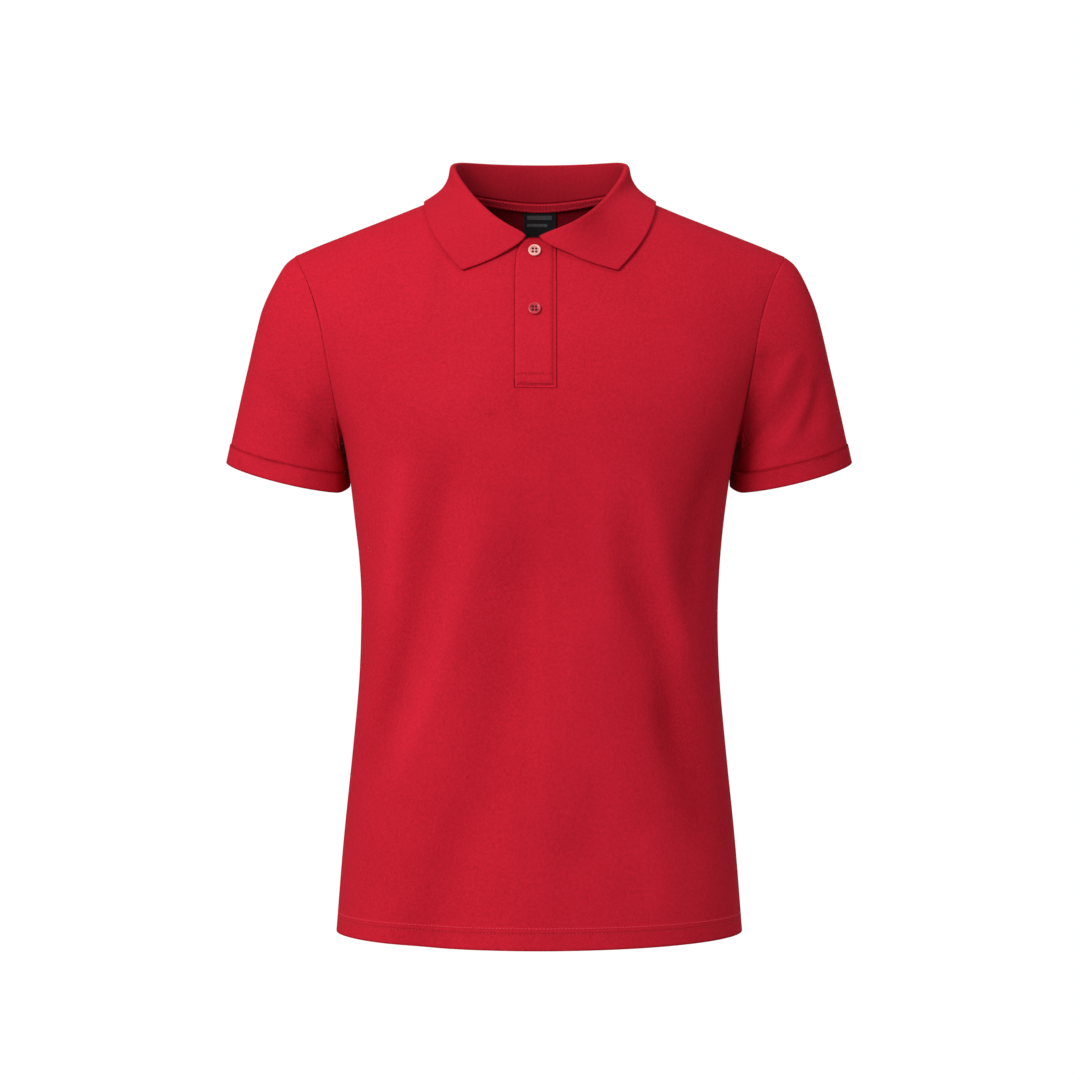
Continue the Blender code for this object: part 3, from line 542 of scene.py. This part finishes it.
def armLine(side):
    # the top of the arm and the way down it
    top = np.array(armForm["top"]) * (side, 1, 1)
    return top, np.array(armForm["end"]) * (side, 1, 1) - top


def fromArm(points, side):
    # how far along the arm each point is, and its way out from the arm
    top, arm = armLine(side)
    along = (points - top) @ arm / (arm @ arm)
    return along, unit(points - top - along[:, None] * arm)


def fillSleeve(points, side):
    # the sleeve and its band stand out on the side away from the body
    along, out = fromArm(points, side)
    outer = part(out[:, 0] * side) ** armForm["power"]
    begun = ease(part((along - armForm["from"]) / armForm["over"]))
    moved = points.copy()
    moved[:, 0] += side * (armForm["left"] if side > 0 else armForm["right"]) * outer * begun
    return moved, outer


def drapeBody(points):
    # the front, the back and what lies on them all move by the same rule
    depth, shade = creaseDepth(points, bodyLines)
    out = np.stack([points[:, 0] / bodyForm["halfWidth"] ** 2,
                    points[:, 1] / bodyForm["halfDepth"] ** 2, np.zeros(len(points))], axis=1)
    moved = points - unit(out) * depth[:, None]
    # the hem hangs lowest in the middle of the front
    across = part(1 - (points[:, 0] / bodyForm["halfWidth"]) ** 2)
    down = part((bodyForm["dropTop"] - points[:, 2]) / bodyForm["dropHeight"])
    ahead = part(-points[:, 1] / bodyForm["dropHeight"])
    moved[:, 2] -= bodyForm["hemDrop"] * across * down * down * ahead
    wide = part((bodyForm["wideTop"] - points[:, 2]) / bodyForm["dropHeight"])
    toSide = part(-points[:, 0] / bodyForm["halfWidth"])
    moved[:, 0] -= bodyForm["wideRight"] * wide * toSide * toSide
    return roundShoulder(moved), shade


def drapeSleeve(nodeName):
    lines = layCreases(sleeveCreases[nodeName], clothTree([nodes[nodeName].data]))
    side = 1 if nodeName == "sleeve_left" else -1

    def drape(points):
        depth, shade = creaseDepth(points, lines)
        out = fromArm(points, side)[1]
        moved = fillSleeve(points - out * depth[:, None], side)[0]
        return roundShoulder(moved), shade
    return drape


bandForm = {"reach": 11.0, "lift": 7.0, "shorter": 0.8, "outerShorter": 1.2, "shade": 15.0}


def roundBand(side):
    # the band's lower edge rises in a round corner beside the body, and shade is painted on that
    # corner
    top, arm = armLine(side)
    arm /= np.linalg.norm(arm)

    def drape(points):
        along = (points - top) @ arm
        low = (along - along.min()) / (along.max() - along.min())
        away = points[:, 0] * side
        inner = part(1 - (away - away.min()) / bandForm["reach"])
        moved, outer = fillSleeve(points, side)
        rise = bandForm["lift"] * inner * inner * low * low
        rise = rise + (bandForm["shorter"] + bandForm["outerShorter"] * outer) * low
        return moved - arm * rise[:, None], bandForm["shade"] * inner
    return drape


standForm = {"halfWidth": 72.0, "foot": 5.0, "height": 28.0, "lift": 2.8, "dip": 2.5,
             "behind": 25.0, "wideLeft": 2.0, "wideRight": 3.0, "tipReach": 30.0,
             "tips": (((7.7, -51.0), (-8.5, 0.0, -2.0)), ((-12.4, -51.5), (2.0, 0.0, -1.0))),
             "shadeAt": (52.0, -38.0), "shadeWidth": 22.0, "shade": 4.0}


def shapeCollar(points):
    # behind, the fold's top sinks a little between its two high points
    across = part(1 - (points[:, 0] / standForm["halfWidth"]) ** 2)
    up = part((points[:, 2] - standForm["foot"]) / standForm["height"])
    behind = part(points[:, 1] / standForm["behind"] + 1)
    moved = points.copy()
    moved[:, 2] += (standForm["lift"] - standForm["dip"] * across) * up * behind
    wide = np.where(points[:, 0] > 0, standForm["wideLeft"], -standForm["wideRight"])
    moved[:, 0] += wide * up * (1 - across)
    # the fronts of the two leaves come close together over the placket
    leaves = points[points[:, 1] < 0]
    for place, move in standForm["tips"]:
        tip = leaves[np.argmin(np.linalg.norm(leaves[:, (0, 2)] - place, axis=1))]
        near = ease(part(1 - np.linalg.norm(points - tip, axis=1) / standForm["tipReach"]))
        moved += near[:, None] * np.array(move)
    # painted shade on the front of the leaf at positive x, near its fold
    gap = ((points[:, (0, 2)] - standForm["shadeAt"]) ** 2).sum(axis=1)
    shade = standForm["shade"] * np.exp(-gap / standForm["shadeWidth"] ** 2) * (points[:, 1] < 0)
    return moved, shade


neckAxis = (0.0, 5.0, 0.0)
tapeForm = {"inwards": 1.2, "up": 0.25}


def liftTape(points):
    # the tape stands a little off the back, close under the collar's stand
    away = points - np.array(neckAxis)
    away[:, 2] = 0.0
    moved = points - unit(away) * tapeForm["inwards"]
    moved[:, 2] += tapeForm["up"]
    return moved, np.zeros(len(points))


def still(points):
    return points, np.zeros(len(points))


# How far a cloth's edge turns, and how far from square a quad may be at first.
edgeTurn = math.radians(50.0)
quadSkew = math.radians(80.0)


def pairFit(edge):
    # how far from square the quad is that two triangles make
    first, second = [next(v for v in face.verts if v not in edge.verts) for face in edge.link_faces]
    ring = [first.co, edge.verts[0].co, second.co, edge.verts[1].co]
    sides = [ring[(index + 1) % 4] - ring[index] for index in range(4)]
    return max(abs(sides[index].angle(-sides[index - 1], 0.0) - math.pi / 2) for index in range(4))


def otherFace(edge, face):
    return next(other for other in edge.link_faces if other != face)


def findPath(start, fits, partner):
    # a path from one triangle without a partner to another, by turns over an edge between two pairs
    # and the edge inside a pair
    cameBy = {start: None}
    queue = [start]
    while queue:
        face = queue.pop(0)
        for edge in sorted((edge for edge in face.edges if edge in fits), key=fits.get):
            other = otherFace(edge, face)
            if other in cameBy:
                continue
            if other not in partner:
                return (face, edge, other), cameBy
            cameBy[other] = (face, edge)
            beyond = otherFace(partner[other], other)
            if beyond not in cameBy:
                cameBy[beyond] = (other, partner[other])
                queue.append(beyond)
    return None, cameBy


def pairTriangles(bm):
    # puts the triangles together again as quads, the squarest first, then changes partners along a
    # path wherever two are left over
    fits = {}
    for edge in bm.edges:
        if len(edge.link_faces) == 2 and edge.calc_face_angle(0.0) < edgeTurn:
            fits[edge] = pairFit(edge)
    partner = {}
    for edge in sorted(fits, key=fits.get):
        first, second = edge.link_faces
        if first not in partner and second not in partner and fits[edge] < quadSkew:
            partner[first] = partner[second] = edge
    for start in [face for face in bm.faces if face not in partner]:
        last, cameBy = findPath(start, fits, partner) if start not in partner else (None, None)
        while last:
            face, edge, other = last
            partner[face] = partner[other] = edge
            last = None
            if cameBy[face]:
                other = cameBy[face][0]
                last = (*cameBy[other], other)
    bmesh.ops.dissolve_edges(bm, edges=list(dict.fromkeys(partner.values())), use_verts=False,
                             use_face_split=False)
    return sum(len(face.verts) != 4 for face in bm.faces)


# The length, in metres, of a step in the grain that no edge crosses.
emptyStep = 0.008


def markGrain(bm, startPoint, sharpEdges):
    # lays a grid of grain coordinates over each region of quads between sharp edges
    layer = bm.loops.layers.uv.new("grain")
    todo = dict.fromkeys(bm.faces)
    places = {}
    regions = []
    while todo:
        seed = min(todo, key=lambda face: (face.calc_center_median() - startPoint).length)
        rises = [abs(loop.vert.co.z - loop.link_loop_next.vert.co.z)
                 / max(loop.edge.calc_length(), 1e-9) for loop in seed.loops]
        first = rises.index(min(rises))
        corners = ((0, 0), (1, 0), (1, 1), (0, 1))
        count = len(seed.loops)
        for index in range(count):
            places[seed.loops[(first + index) % count]] = corners[index % 4]
        del todo[seed]
        region = [seed]
        queue = [seed]
        while queue:
            face = queue.pop(0)
            for loop in face.loops:
                other = loop.link_loop_radial_next
                if other.face not in todo or loop.edge in sharpEdges:
                    continue
                here, ahead = places[loop], places[loop.link_loop_next]
                side = (ahead[0] - here[0], ahead[1] - here[1])
                out = (side[1], -side[0])
                other = other if other.vert == loop.link_loop_next.vert else other.link_loop_next
                ring = [ahead, here, (here[0] + out[0], here[1] + out[1]),
                        (ahead[0] + out[0], ahead[1] + out[1])]
                walk = other
                for index in range(len(other.face.loops)):
                    places[walk] = ring[index % 4]
                    walk = walk.link_loop_next
                del todo[other.face]
                region.append(other.face)
                queue.append(other.face)
        regions.append(region)
    for region in regions:
        lengths = [{}, {}]
        for face in region:
            for loop in face.loops:
                here, ahead = places[loop], places[loop.link_loop_next]
                for axis in (0, 1):
                    if here[axis] != ahead[axis]:
                        step = min(here[axis], ahead[axis])
                        lengths[axis].setdefault(step, []).append(loop.edge.calc_length())
        scales = []
        for axis in (0, 1):
            spot = {min(lengths[axis]): 0.0}
            for step in range(min(lengths[axis]), max(lengths[axis]) + 1):
                usual = lengths[axis].get(step, [emptyStep])
                spot[step + 1] = spot[step] + sum(usual) / len(usual)
            scales.append(spot)
        for face in region:
            for loop in face.loops:
                i, j = places[loop]
                loop[layer].uv = (scales[0].get(i, 0.0), scales[1].get(j, 0.0))
    return len(regions)


def addObject(name, data):
    made = bpy.data.objects.new(name, data)
    bpy.context.scene.collection.objects.link(made)
    return made


def finishedMesh(made):
    # the object's mesh with its modifiers applied
    return bpy.data.meshes.new_from_object(
        made.evaluated_get(bpy.context.evaluated_depsgraph_get()))


def fineMesh(name, bm, levels):
    # the coarse mesh subdivided
    base = bpy.data.meshes.new(name + "Base")
    bm.to_mesh(base)
    bm.free()
    holder = addObject(name + "Base", base)
    smoother = holder.modifiers.new("fine", "SUBSURF")
    smoother.levels = levels
    smoother.render_levels = levels
    mesh = finishedMesh(holder)
    bpy.data.objects.remove(holder)
    mesh.name = name
    if "custom_normal" in mesh.attributes:
        mesh.attributes.remove(mesh.attributes["custom_normal"])
    return mesh


# The cut edge is marked in steps, and the cloth thins over the round towards it, in millimetres.
rimLook = {"steps": 8, "round": 6.0}


def thinEdge(points, facing, rim, thin):
    # the outer face sinks towards its cut edge
    most = np.where((points[:, 0] < thin["middle"]) & (points[:, 2] > thin["foot"]),
                    thin["left"], thin["right"])
    outer = part(-facing[:, 1] * 2)
    edge = 1 - ease(part(rim / rimLook["round"]))
    moved = points.copy()
    moved[:, 1] += (outer * most + thin["sink"]) * edge
    return moved


def insideShade(points, facing, shade):
    # the shade painted on each point for how much it faces the inside of the shirt, from one value
    # at the top to another lower down
    away = points - np.array(shade["from"])
    inward = -(facing * unit(away)).sum(axis=1)
    down = part((shade["top"] - points[:, 2]) / shade["drop"])
    return part(inward * 2) * (shade["high"] + (shade["low"] - shade["high"]) * down)


def clothPiece(pieceName, facts):
    # a fine closed cloth wall on the form of its solid, with its creases
    nodeName = facts["node"]
    bm = bmesh.new()
    bm.from_mesh(nodes[nodeName].data)
    bmesh.ops.remove_doubles(bm, verts=bm.verts, dist=1e-5)
    oddFaces = pairTriangles(bm)
    crease = bm.edges.layers.float.new("crease_edge")
    sharp = {}
    for edge in bm.edges:
        if edge.calc_face_angle(0.0) > edgeTurn:
            edge[crease] = facts.get("edge", 1.0)
            sharp[edge] = True
    regionCount = markGrain(bm, Vector(facts["grainFrom"]), sharp)
    cutEdge = KDTree(len(sharp) * (rimLook["steps"] + 1))
    for edge in sharp:
        for step in range(rimLook["steps"] + 1):
            spot = edge.verts[0].co.lerp(edge.verts[1].co, step / rimLook["steps"])
            cutEdge.insert(spot, step)
    cutEdge.balance()
    mesh = fineMesh(pieceName, bm, facts.get("levels", 3))
    points = np.empty(len(mesh.vertices) * 3)
    facing = np.empty(len(mesh.vertices) * 3)
    mesh.vertices.foreach_get("co", points)
    mesh.vertex_normals.foreach_get("vector", facing)
    points, facing = points.reshape(-1, 3), facing.reshape(-1, 3)
    rim = np.array([cutEdge.find(point)[2] for point in points]) / mm
    # each drape also gives the shade that is painted on the piece
    points, paintedShading = facts.get("drape", still)(points / mm)
    if "edgeThin" in facts:
        points = thinEdge(points, facing, rim, facts["edgeThin"])
    # painted shade on faces that look to the inside
    inner = np.zeros(len(points))
    if "inner" in facts:
        inner = insideShade(points, facing, facts["inner"])
    mesh.vertices.foreach_set("co", (points * mm).astype(np.float32).ravel())
    # the tone adds painted shade to the whole piece, or painted light where it is below 0
    paintedShading = paintedShading + facts.get("tone", 0.0)
    for name, values in (("paintedShading", paintedShading), ("rim", rim), ("inner", inner)):
        layer = mesh.attributes.new(name, "FLOAT", "POINT")
        layer.data.foreach_set("value", values.astype(np.float32))
    mesh.update()
    mesh.shade_smooth()
    mesh.set_sharp_from_angle(angle=edgeTurn)
    mesh.materials.clear()
    mesh.materials.append(facts["material"])
    piece = addObject(pieceName, mesh)
    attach(piece, "root")
    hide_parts(nodeName)
    print(pieceName, "faces", len(mesh.polygons), "regions", regionCount, "odd", oddFaces)
    return piece


clothPieces = {
    "frontPanel": {"node": "front", "material": bodyPique, "slot": "pique", "drape": drapeBody,
                   "grainFrom": (0.0, -0.3, -0.4), "levels": 2},
    "backPanel": {"node": "back", "material": bodyPique, "slot": "pique", "drape": drapeBody,
                  "grainFrom": (0.0, 0.3, -0.4), "levels": 2,
                  # the inside of the back and of the collar's stand are painted in shade
                  "inner": {"from": (0.0, 0.0, -300.0), "high": 0.72, "low": 0.5, "top": -100.0,
                            "drop": 500.0}},
    "sleeveLeft": {"node": "sleeve_left", "material": sleevePique, "slot": "pique",
                   "drape": drapeSleeve("sleeve_left"), "grainFrom": (0.4, 0.0, -0.15)},
    "sleeveRight": {"node": "sleeve_right", "material": sleevePique, "slot": "pique",
                    "drape": drapeSleeve("sleeve_right"), "grainFrom": (-0.4, 0.0, -0.15)},
    # tone is painted shade on the left band, and painted light on the right band and the tape
    "bandLeft": {"node": "cuff_left", "material": bandRib, "slot": "rib", "edge": 0.8, "tone": 1.5,
                 "drape": roundBand(1), "grainFrom": (0.5, 0.0, -0.2)},
    "bandRight": {"node": "cuff_right", "material": bandRib, "slot": "rib", "edge": 0.8,
                  "tone": -0.5, "drape": roundBand(-1), "grainFrom": (-0.5, 0.0, -0.2)},
    "collarFold": {"node": "collar", "material": rib, "slot": "rib", "edge": 0.85,
                   "drape": shapeCollar, "grainFrom": (0.0, 0.0, 0.01), 
                   "inner": {"from": neckAxis, "high": 0.34, "low": 0.55, "top": 30.0,
                             "drop": 28.0}},
    "neckTape": {"node": "neck_tape", "material": rib, "slot": "rib", "edge": 0.7, "tone": -4.5,
                 "drape": liftTape, "grainFrom": (0.0, 0.0, 0.0)},
    "placketUpper": {"node": "placket_upper", "material": placketPique, "slot": "pique",
                     "edge": 0.6,
                     "edgeThin": {"left": 1.3, "right": 2.0, "middle": -9.0, "foot": -184.0,
                                  "sink": 0.26},
                     "drape": drapeBody, "grainFrom": (0.0, -0.3, -0.1)},
    "placketUnder": {"node": "placket_under", "material": sleevePique, "slot": "pique", "edge": 0.6,
                     "drape": drapeBody, "grainFrom": (0.0, 0.3, -0.1)},
    "neckLabel": {"node": "label", "material": labelCloth, "slot": "label",
                  "grainFrom": (0.0, 0.0, 0.0)},
}
pieces = {name: clothPiece(name, facts) for name, facts in clothPieces.items()}
print("cloth ready")


# Sewing: rows of small stitches laid on the finished cloth, in millimetres.
stitchLook = {"length": 2.6, "width": 0.75, "height": 0.5, "pitch": 3.3, "sink": 0.05}
fineStitch = {"length": 2.3, "width": 0.5, "height": 0.35, "pitch": 3.0, "sink": -0.08}


def newPiece(name, bm, material):
    mesh = bpy.data.meshes.new(name)
    bm.to_mesh(mesh)
    bm.free()
    mesh.materials.append(material)
    mesh.shade_smooth()
    piece = addObject(name, mesh)
    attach(piece, "root")
    return piece


# The farthest that one place of a track may be from the last.
trackJump = 20.0


def castTrack(tree, rays):
    # where rays meet the cloth, leaving out those that slip through a seam
    track = []
    for start, aim in rays:
        spot, facing, _, _ = tree.ray_cast(Vector(start) * mm, Vector(aim))
        if spot is None or (track and (spot - track[-1][0]).length > trackJump * mm):
            continue
        track.append((spot, -facing if facing.dot(Vector(aim)) > 0 else facing))
    return track


def ovalSize(look):
    return Matrix.Diagonal((look["length"] / 2 * mm, look["width"] / 2 * mm,
                            look["height"] / 2 * mm, 1.0))


def sewTrack(bm, track, look, closed=False):
    # even stitches along a track of places and facings
    if closed:
        track = track + [track[0]]
    run = [0.0]
    for (here, _), (ahead, _) in zip(track, track[1:]):
        run.append(run[-1] + (ahead - here).length)
    count = int(run[-1] / (look["pitch"] * mm))
    index = 0
    for number in range(count):
        at = (number + 0.5) * run[-1] / count
        while run[index + 1] < at:
            index += 1
        share = (at - run[index]) / max(run[index + 1] - run[index], 1e-9)
        (here, facing), (ahead, facingAhead) = track[index], track[index + 1]
        up = facing.lerp(facingAhead, share).normalized()
        along = (ahead - here).normalized()
        side = up.cross(along).normalized()
        along = side.cross(up)
        spot = here.lerp(ahead, share) + up * look["sink"] * mm
        turn = Matrix((along, side, up)).transposed().to_4x4()
        bmesh.ops.create_icosphere(bm, subdivisions=1, radius=1.0,
                                   matrix=Matrix.Translation(spot) @ turn @ ovalSize(look))
    return count


# How far out the hem's rays start, and the turn from one to the next in degrees.
hemSewing = {"from": 400.0, "turn": 2}
bodyTree = clothTree([pieces["frontPanel"].data, pieces["backPanel"].data])
stitchCount = 0
# the upper row's paler thread is a painted highlight
for name, row, thread in zip(("hemStitchingHigh", "hemStitchingLow"), sewing["hemRows"],
                             (paintedLightThread, clothThread)):
    rays = []
    for degree in range(0, 360, hemSewing["turn"]):
        x, y = math.cos(math.radians(degree)), math.sin(math.radians(degree))
        rays.append(((x * hemSewing["from"], y * hemSewing["from"], row), (-x, -y, 0.0)))
    bm = bmesh.new()
    stitchCount += sewTrack(bm, castTrack(bodyTree, rays), stitchLook, closed=True)
    newPiece(name, bm, thread)

placketSewing = {"leftTop": -76.0, "rightTop": -64.0, "from": -300.0, "rays": 30}
placketTree = clothTree([pieces["placketUpper"].data])
low, high = [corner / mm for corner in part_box("placket_upper")]
leftRow, rightRow = low.x + sewing["insetLeft"], high.x - sewing["insetRight"]
footRow, crossRow = low.z + sewing["insetFoot"], sewing["placketRow"]
corners = ((leftRow, placketSewing["leftTop"]), (leftRow, footRow), (rightRow, footRow),
           (rightRow, placketSewing["rightTop"]))
bm = bmesh.new()
for start, end in [*zip(corners, corners[1:]), ((leftRow, crossRow), (rightRow, crossRow))]:
    rays = []
    for share in np.linspace(0.0, 1.0, placketSewing["rays"]):
        x, z = [a + (b - a) * share for a, b in zip(start, end)]
        rays.append(((x, placketSewing["from"], z), (0.0, 1.0, 0.0)))
    stitchCount += sewTrack(bm, castTrack(placketTree, rays), fineStitch)
placketStitching = newPiece("placketStitching", bm, clothThread)

tapeSewing = {"inset": 1.2, "widest": 66, "turn": 2, "top": 4.0, "foot": -16.0, "step": 0.3}
tapeTree = clothTree([pieces["neckTape"].data])
tapeRows = ([], [])
for degree in range(-tapeSewing["widest"], tapeSewing["widest"] + 1, tapeSewing["turn"]):
    way = (math.sin(math.radians(degree)), math.cos(math.radians(degree)))
    heights = np.arange(tapeSewing["top"], tapeSewing["foot"], -tapeSewing["step"])
    met = [z for z in heights
           if tapeTree.ray_cast(Vector((0.0, neckAxis[1], z)) * mm, Vector((*way, 0.0)))[0]]
    if met:
        for row, z in zip(tapeRows, (met[0] - tapeSewing["inset"], met[-1] + tapeSewing["inset"])):
            row.append(((0.0, neckAxis[1], z), (*way, 0.0)))
bm = bmesh.new()
for row in tapeRows:
    stitchCount += sewTrack(bm, castTrack(tapeTree, row), stitchLook)
# the tape's rows are in thread paled as a painted highlight
tapeStitching = newPiece("tapeStitching", bm, paintedLightThread)
print("stitches", stitchCount)


# Buttons: a spun profile of radius and height, with four holes through the floor of its dish.
buttonShape = {
    "profile": ((0.0, -1.2), (5.0, -1.2), (5.6, -0.85), (5.8, -0.2), (5.8, 0.45), (5.6, 0.95),
                (5.15, 1.2), (4.6, 1.15), (4.2, 0.85), (3.95, 0.5), (3.5, 0.35), (0.0, 0.3)),
    "steps": 48, "holeRadius": 1.3, "holeReach": 1.6, "dishRadius": 4.25,
    "holeSides": 16, "holeDepth": 8.0, "turn": 40.0,
}
holePlaces = [Vector((across, up, 0.0)) * buttonShape["holeReach"]
              for across, up in ((1, 1), (1, -1), (-1, 1), (-1, -1))]


def buttonPlace(nodeName):
    # the button's middle, its axis and which way is up on it, from its solid
    spots = np.array([vertex.co for vertex in nodes[nodeName].data.vertices])
    middle = (spots.min(axis=0) + spots.max(axis=0)) / 2
    axis = Vector(np.linalg.svd(spots - spots.mean(axis=0))[2][2])
    axis = -axis if axis.y > 0 else axis
    across = Vector((0.0, 0.0, 1.0)).cross(axis).normalized()
    turn = Matrix((across, axis.cross(across), axis)).transposed().to_4x4()
    return Matrix.Translation(middle) @ turn


def button(name, nodeName, material, shape):
    bm = bmesh.new()
    corners = [bm.verts.new((radius * mm, 0.0, height * mm)) for radius, height in shape["profile"]]
    edges = [bm.edges.new(pair) for pair in zip(corners, corners[1:])]
    bmesh.ops.spin(bm, geom=corners + edges, cent=(0, 0, 0), axis=(0, 0, 1), angle=math.tau,
                   steps=shape["steps"], use_merge=True)
    bmesh.ops.remove_doubles(bm, verts=bm.verts, dist=1e-6)
    bmesh.ops.recalc_face_normals(bm, faces=bm.faces)
    blank = newPiece(name + "Blank", bm, material)
    bm = bmesh.new()
    for place in holePlaces:
        bmesh.ops.create_cone(bm, cap_ends=True, segments=shape["holeSides"],
                              radius1=shape["holeRadius"] * mm, radius2=shape["holeRadius"] * mm,
                              depth=shape["holeDepth"] * mm, matrix=Matrix.Translation(place * mm))
    cutter = newPiece(name + "Cutter", bm, material)
    drill = blank.modifiers.new("holes", "BOOLEAN")
    drill.object = cutter
    drill.operation = "DIFFERENCE"
    drill.solver = "EXACT"
    mesh = finishedMesh(blank)
    for spare in (blank, cutter):
        bpy.data.objects.remove(spare)
    bm = bmesh.new()
    bm.from_mesh(mesh)
    # painted shade in the dish
    paintedShading = bm.verts.layers.float.new("paintedShading")
    for vertex in bm.verts:
        vertex[paintedShading] = 1.0 if vertex.co.xy.length < shape["dishRadius"] * mm else 0.0
    bmesh.ops.transform(bm, matrix=buttonPlace(nodeName), verts=bm.verts)
    piece = newPiece(name, bm, material)
    piece.data.set_sharp_from_angle(angle=math.radians(shape["turn"]))
    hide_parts(nodeName)
    print(name, "faces", len(piece.data.polygons))
    return piece


buttonTop = button("buttonTop", "button_top", creamResin, buttonShape)
buttonLower = button("buttonLower", "button_lower", redResin, buttonShape)

# What holds each button: stubs of thread down in its holes, darkened as painted shadow there.
stubShape = {"length": 2.3, "width": 2.3, "height": 1.2, "depth": -0.75}
bm = bmesh.new()
for nodeName in ("button_top", "button_lower"):
    for place in holePlaces:
        spot = Matrix.Translation((place + Vector((0.0, 0.0, stubShape["depth"]))) * mm)
        bmesh.ops.create_icosphere(bm, subdivisions=2, radius=1.0,
                                   matrix=buttonPlace(nodeName) @ spot @ ovalSize(stubShape))
buttonThread = newPiece("buttonThread", bm, deepThread)


# In metres. The camera looks level at the middle of the shirt, and sees this much across there.
stageLook = {"floorHeight": -1.05, "floorRadius": 0.75, "floorSides": 96, "floorGrain": 3.0,
             "floorTones": ((0.86, 0.86, 0.86, 1.0), (0.9, 0.9, 0.9, 1.0)),
             "camera": (0.0, -2.6, -0.3297), "sensor": 36.0, "seen": 1.026,
             "lampsAim": (0.0, 0.0, -0.3)}
bm = bmesh.new()
bmesh.ops.create_circle(bm, cap_ends=True, segments=stageLook["floorSides"],
                        radius=stageLook["floorRadius"])
bmesh.ops.translate(bm, verts=bm.verts, vec=(0.0, 0.0, stageLook["floorHeight"]))
floorMesh = bpy.data.meshes.new("floor")
bm.to_mesh(floorMesh)
bm.free()
floor = addObject("floor", floorMesh)
paper = Recipe("studioPaper", {"Roughness": 0.9, "Specular IOR Level": 0.1})
grainNoise = paper.noise(stageLook["floorGrain"])
paper.feed("Base Color", paper.blend(grainNoise, *stageLook["floorTones"]))
floorMesh.materials.append(paper.material)

cameraData = bpy.data.cameras.new("camera")
cameraData.lens = -stageLook["camera"][1] * stageLook["sensor"] / stageLook["seen"]
cameraData.sensor_width = stageLook["sensor"]
camera = addObject("camera", cameraData)
camera.location = stageLook["camera"]
camera.rotation_euler = (math.pi / 2, 0.0, 0.0)
bpy.context.scene.camera = camera

lamps = {
    "keyLamp": {"place": (-1.62, -2.43, 1.0), "size": 1.1, "power": 70.0},
    "topLamp": {"place": (0.5, -0.7, 1.9), "size": 1.4, "power": 8.0},
}
for lampName, facts in lamps.items():
    lampData = bpy.data.lights.new(lampName, "AREA")
    lampData.shape = "DISK"
    lampData.size = facts["size"]
    lampData.energy = facts["power"]
    lamp = addObject(lampName, lampData)
    lamp.location = facts["place"]
    aim = Vector(stageLook["lampsAim"]) - lamp.location
    lamp.rotation_euler = aim.to_track_quat("-Z", "Y").to_euler()

# The camera sees white paper behind the shirt, and the room around lights it softly.
roomLook = {"paper": 1.02, "room": 0.43, "tint": (1.0, 1.0, 1.0, 1.0)}
world = bpy.data.worlds.new("studio")
bpy.context.scene.world = world
world.use_nodes = True
air = world.node_tree
backdrop = air.nodes["Background"]
backdrop.inputs["Color"].default_value = roomLook["tint"]
backdrop.inputs["Strength"].default_value = roomLook["paper"]
room = air.nodes.new("ShaderNodeBackground")
room.inputs["Color"].default_value = roomLook["tint"]
room.inputs["Strength"].default_value = roomLook["room"]
seen = air.nodes.new("ShaderNodeLightPath")
both = air.nodes.new("ShaderNodeMixShader")
air.links.new(seen.outputs["Is Camera Ray"], both.inputs[0])
air.links.new(room.outputs[0], both.inputs[1])
air.links.new(backdrop.outputs[0], both.inputs[2])
air.links.new(both.outputs[0], air.nodes["World Output"].inputs["Surface"])
bpy.context.scene.view_settings.view_transform = "Standard"
print("stage ready")
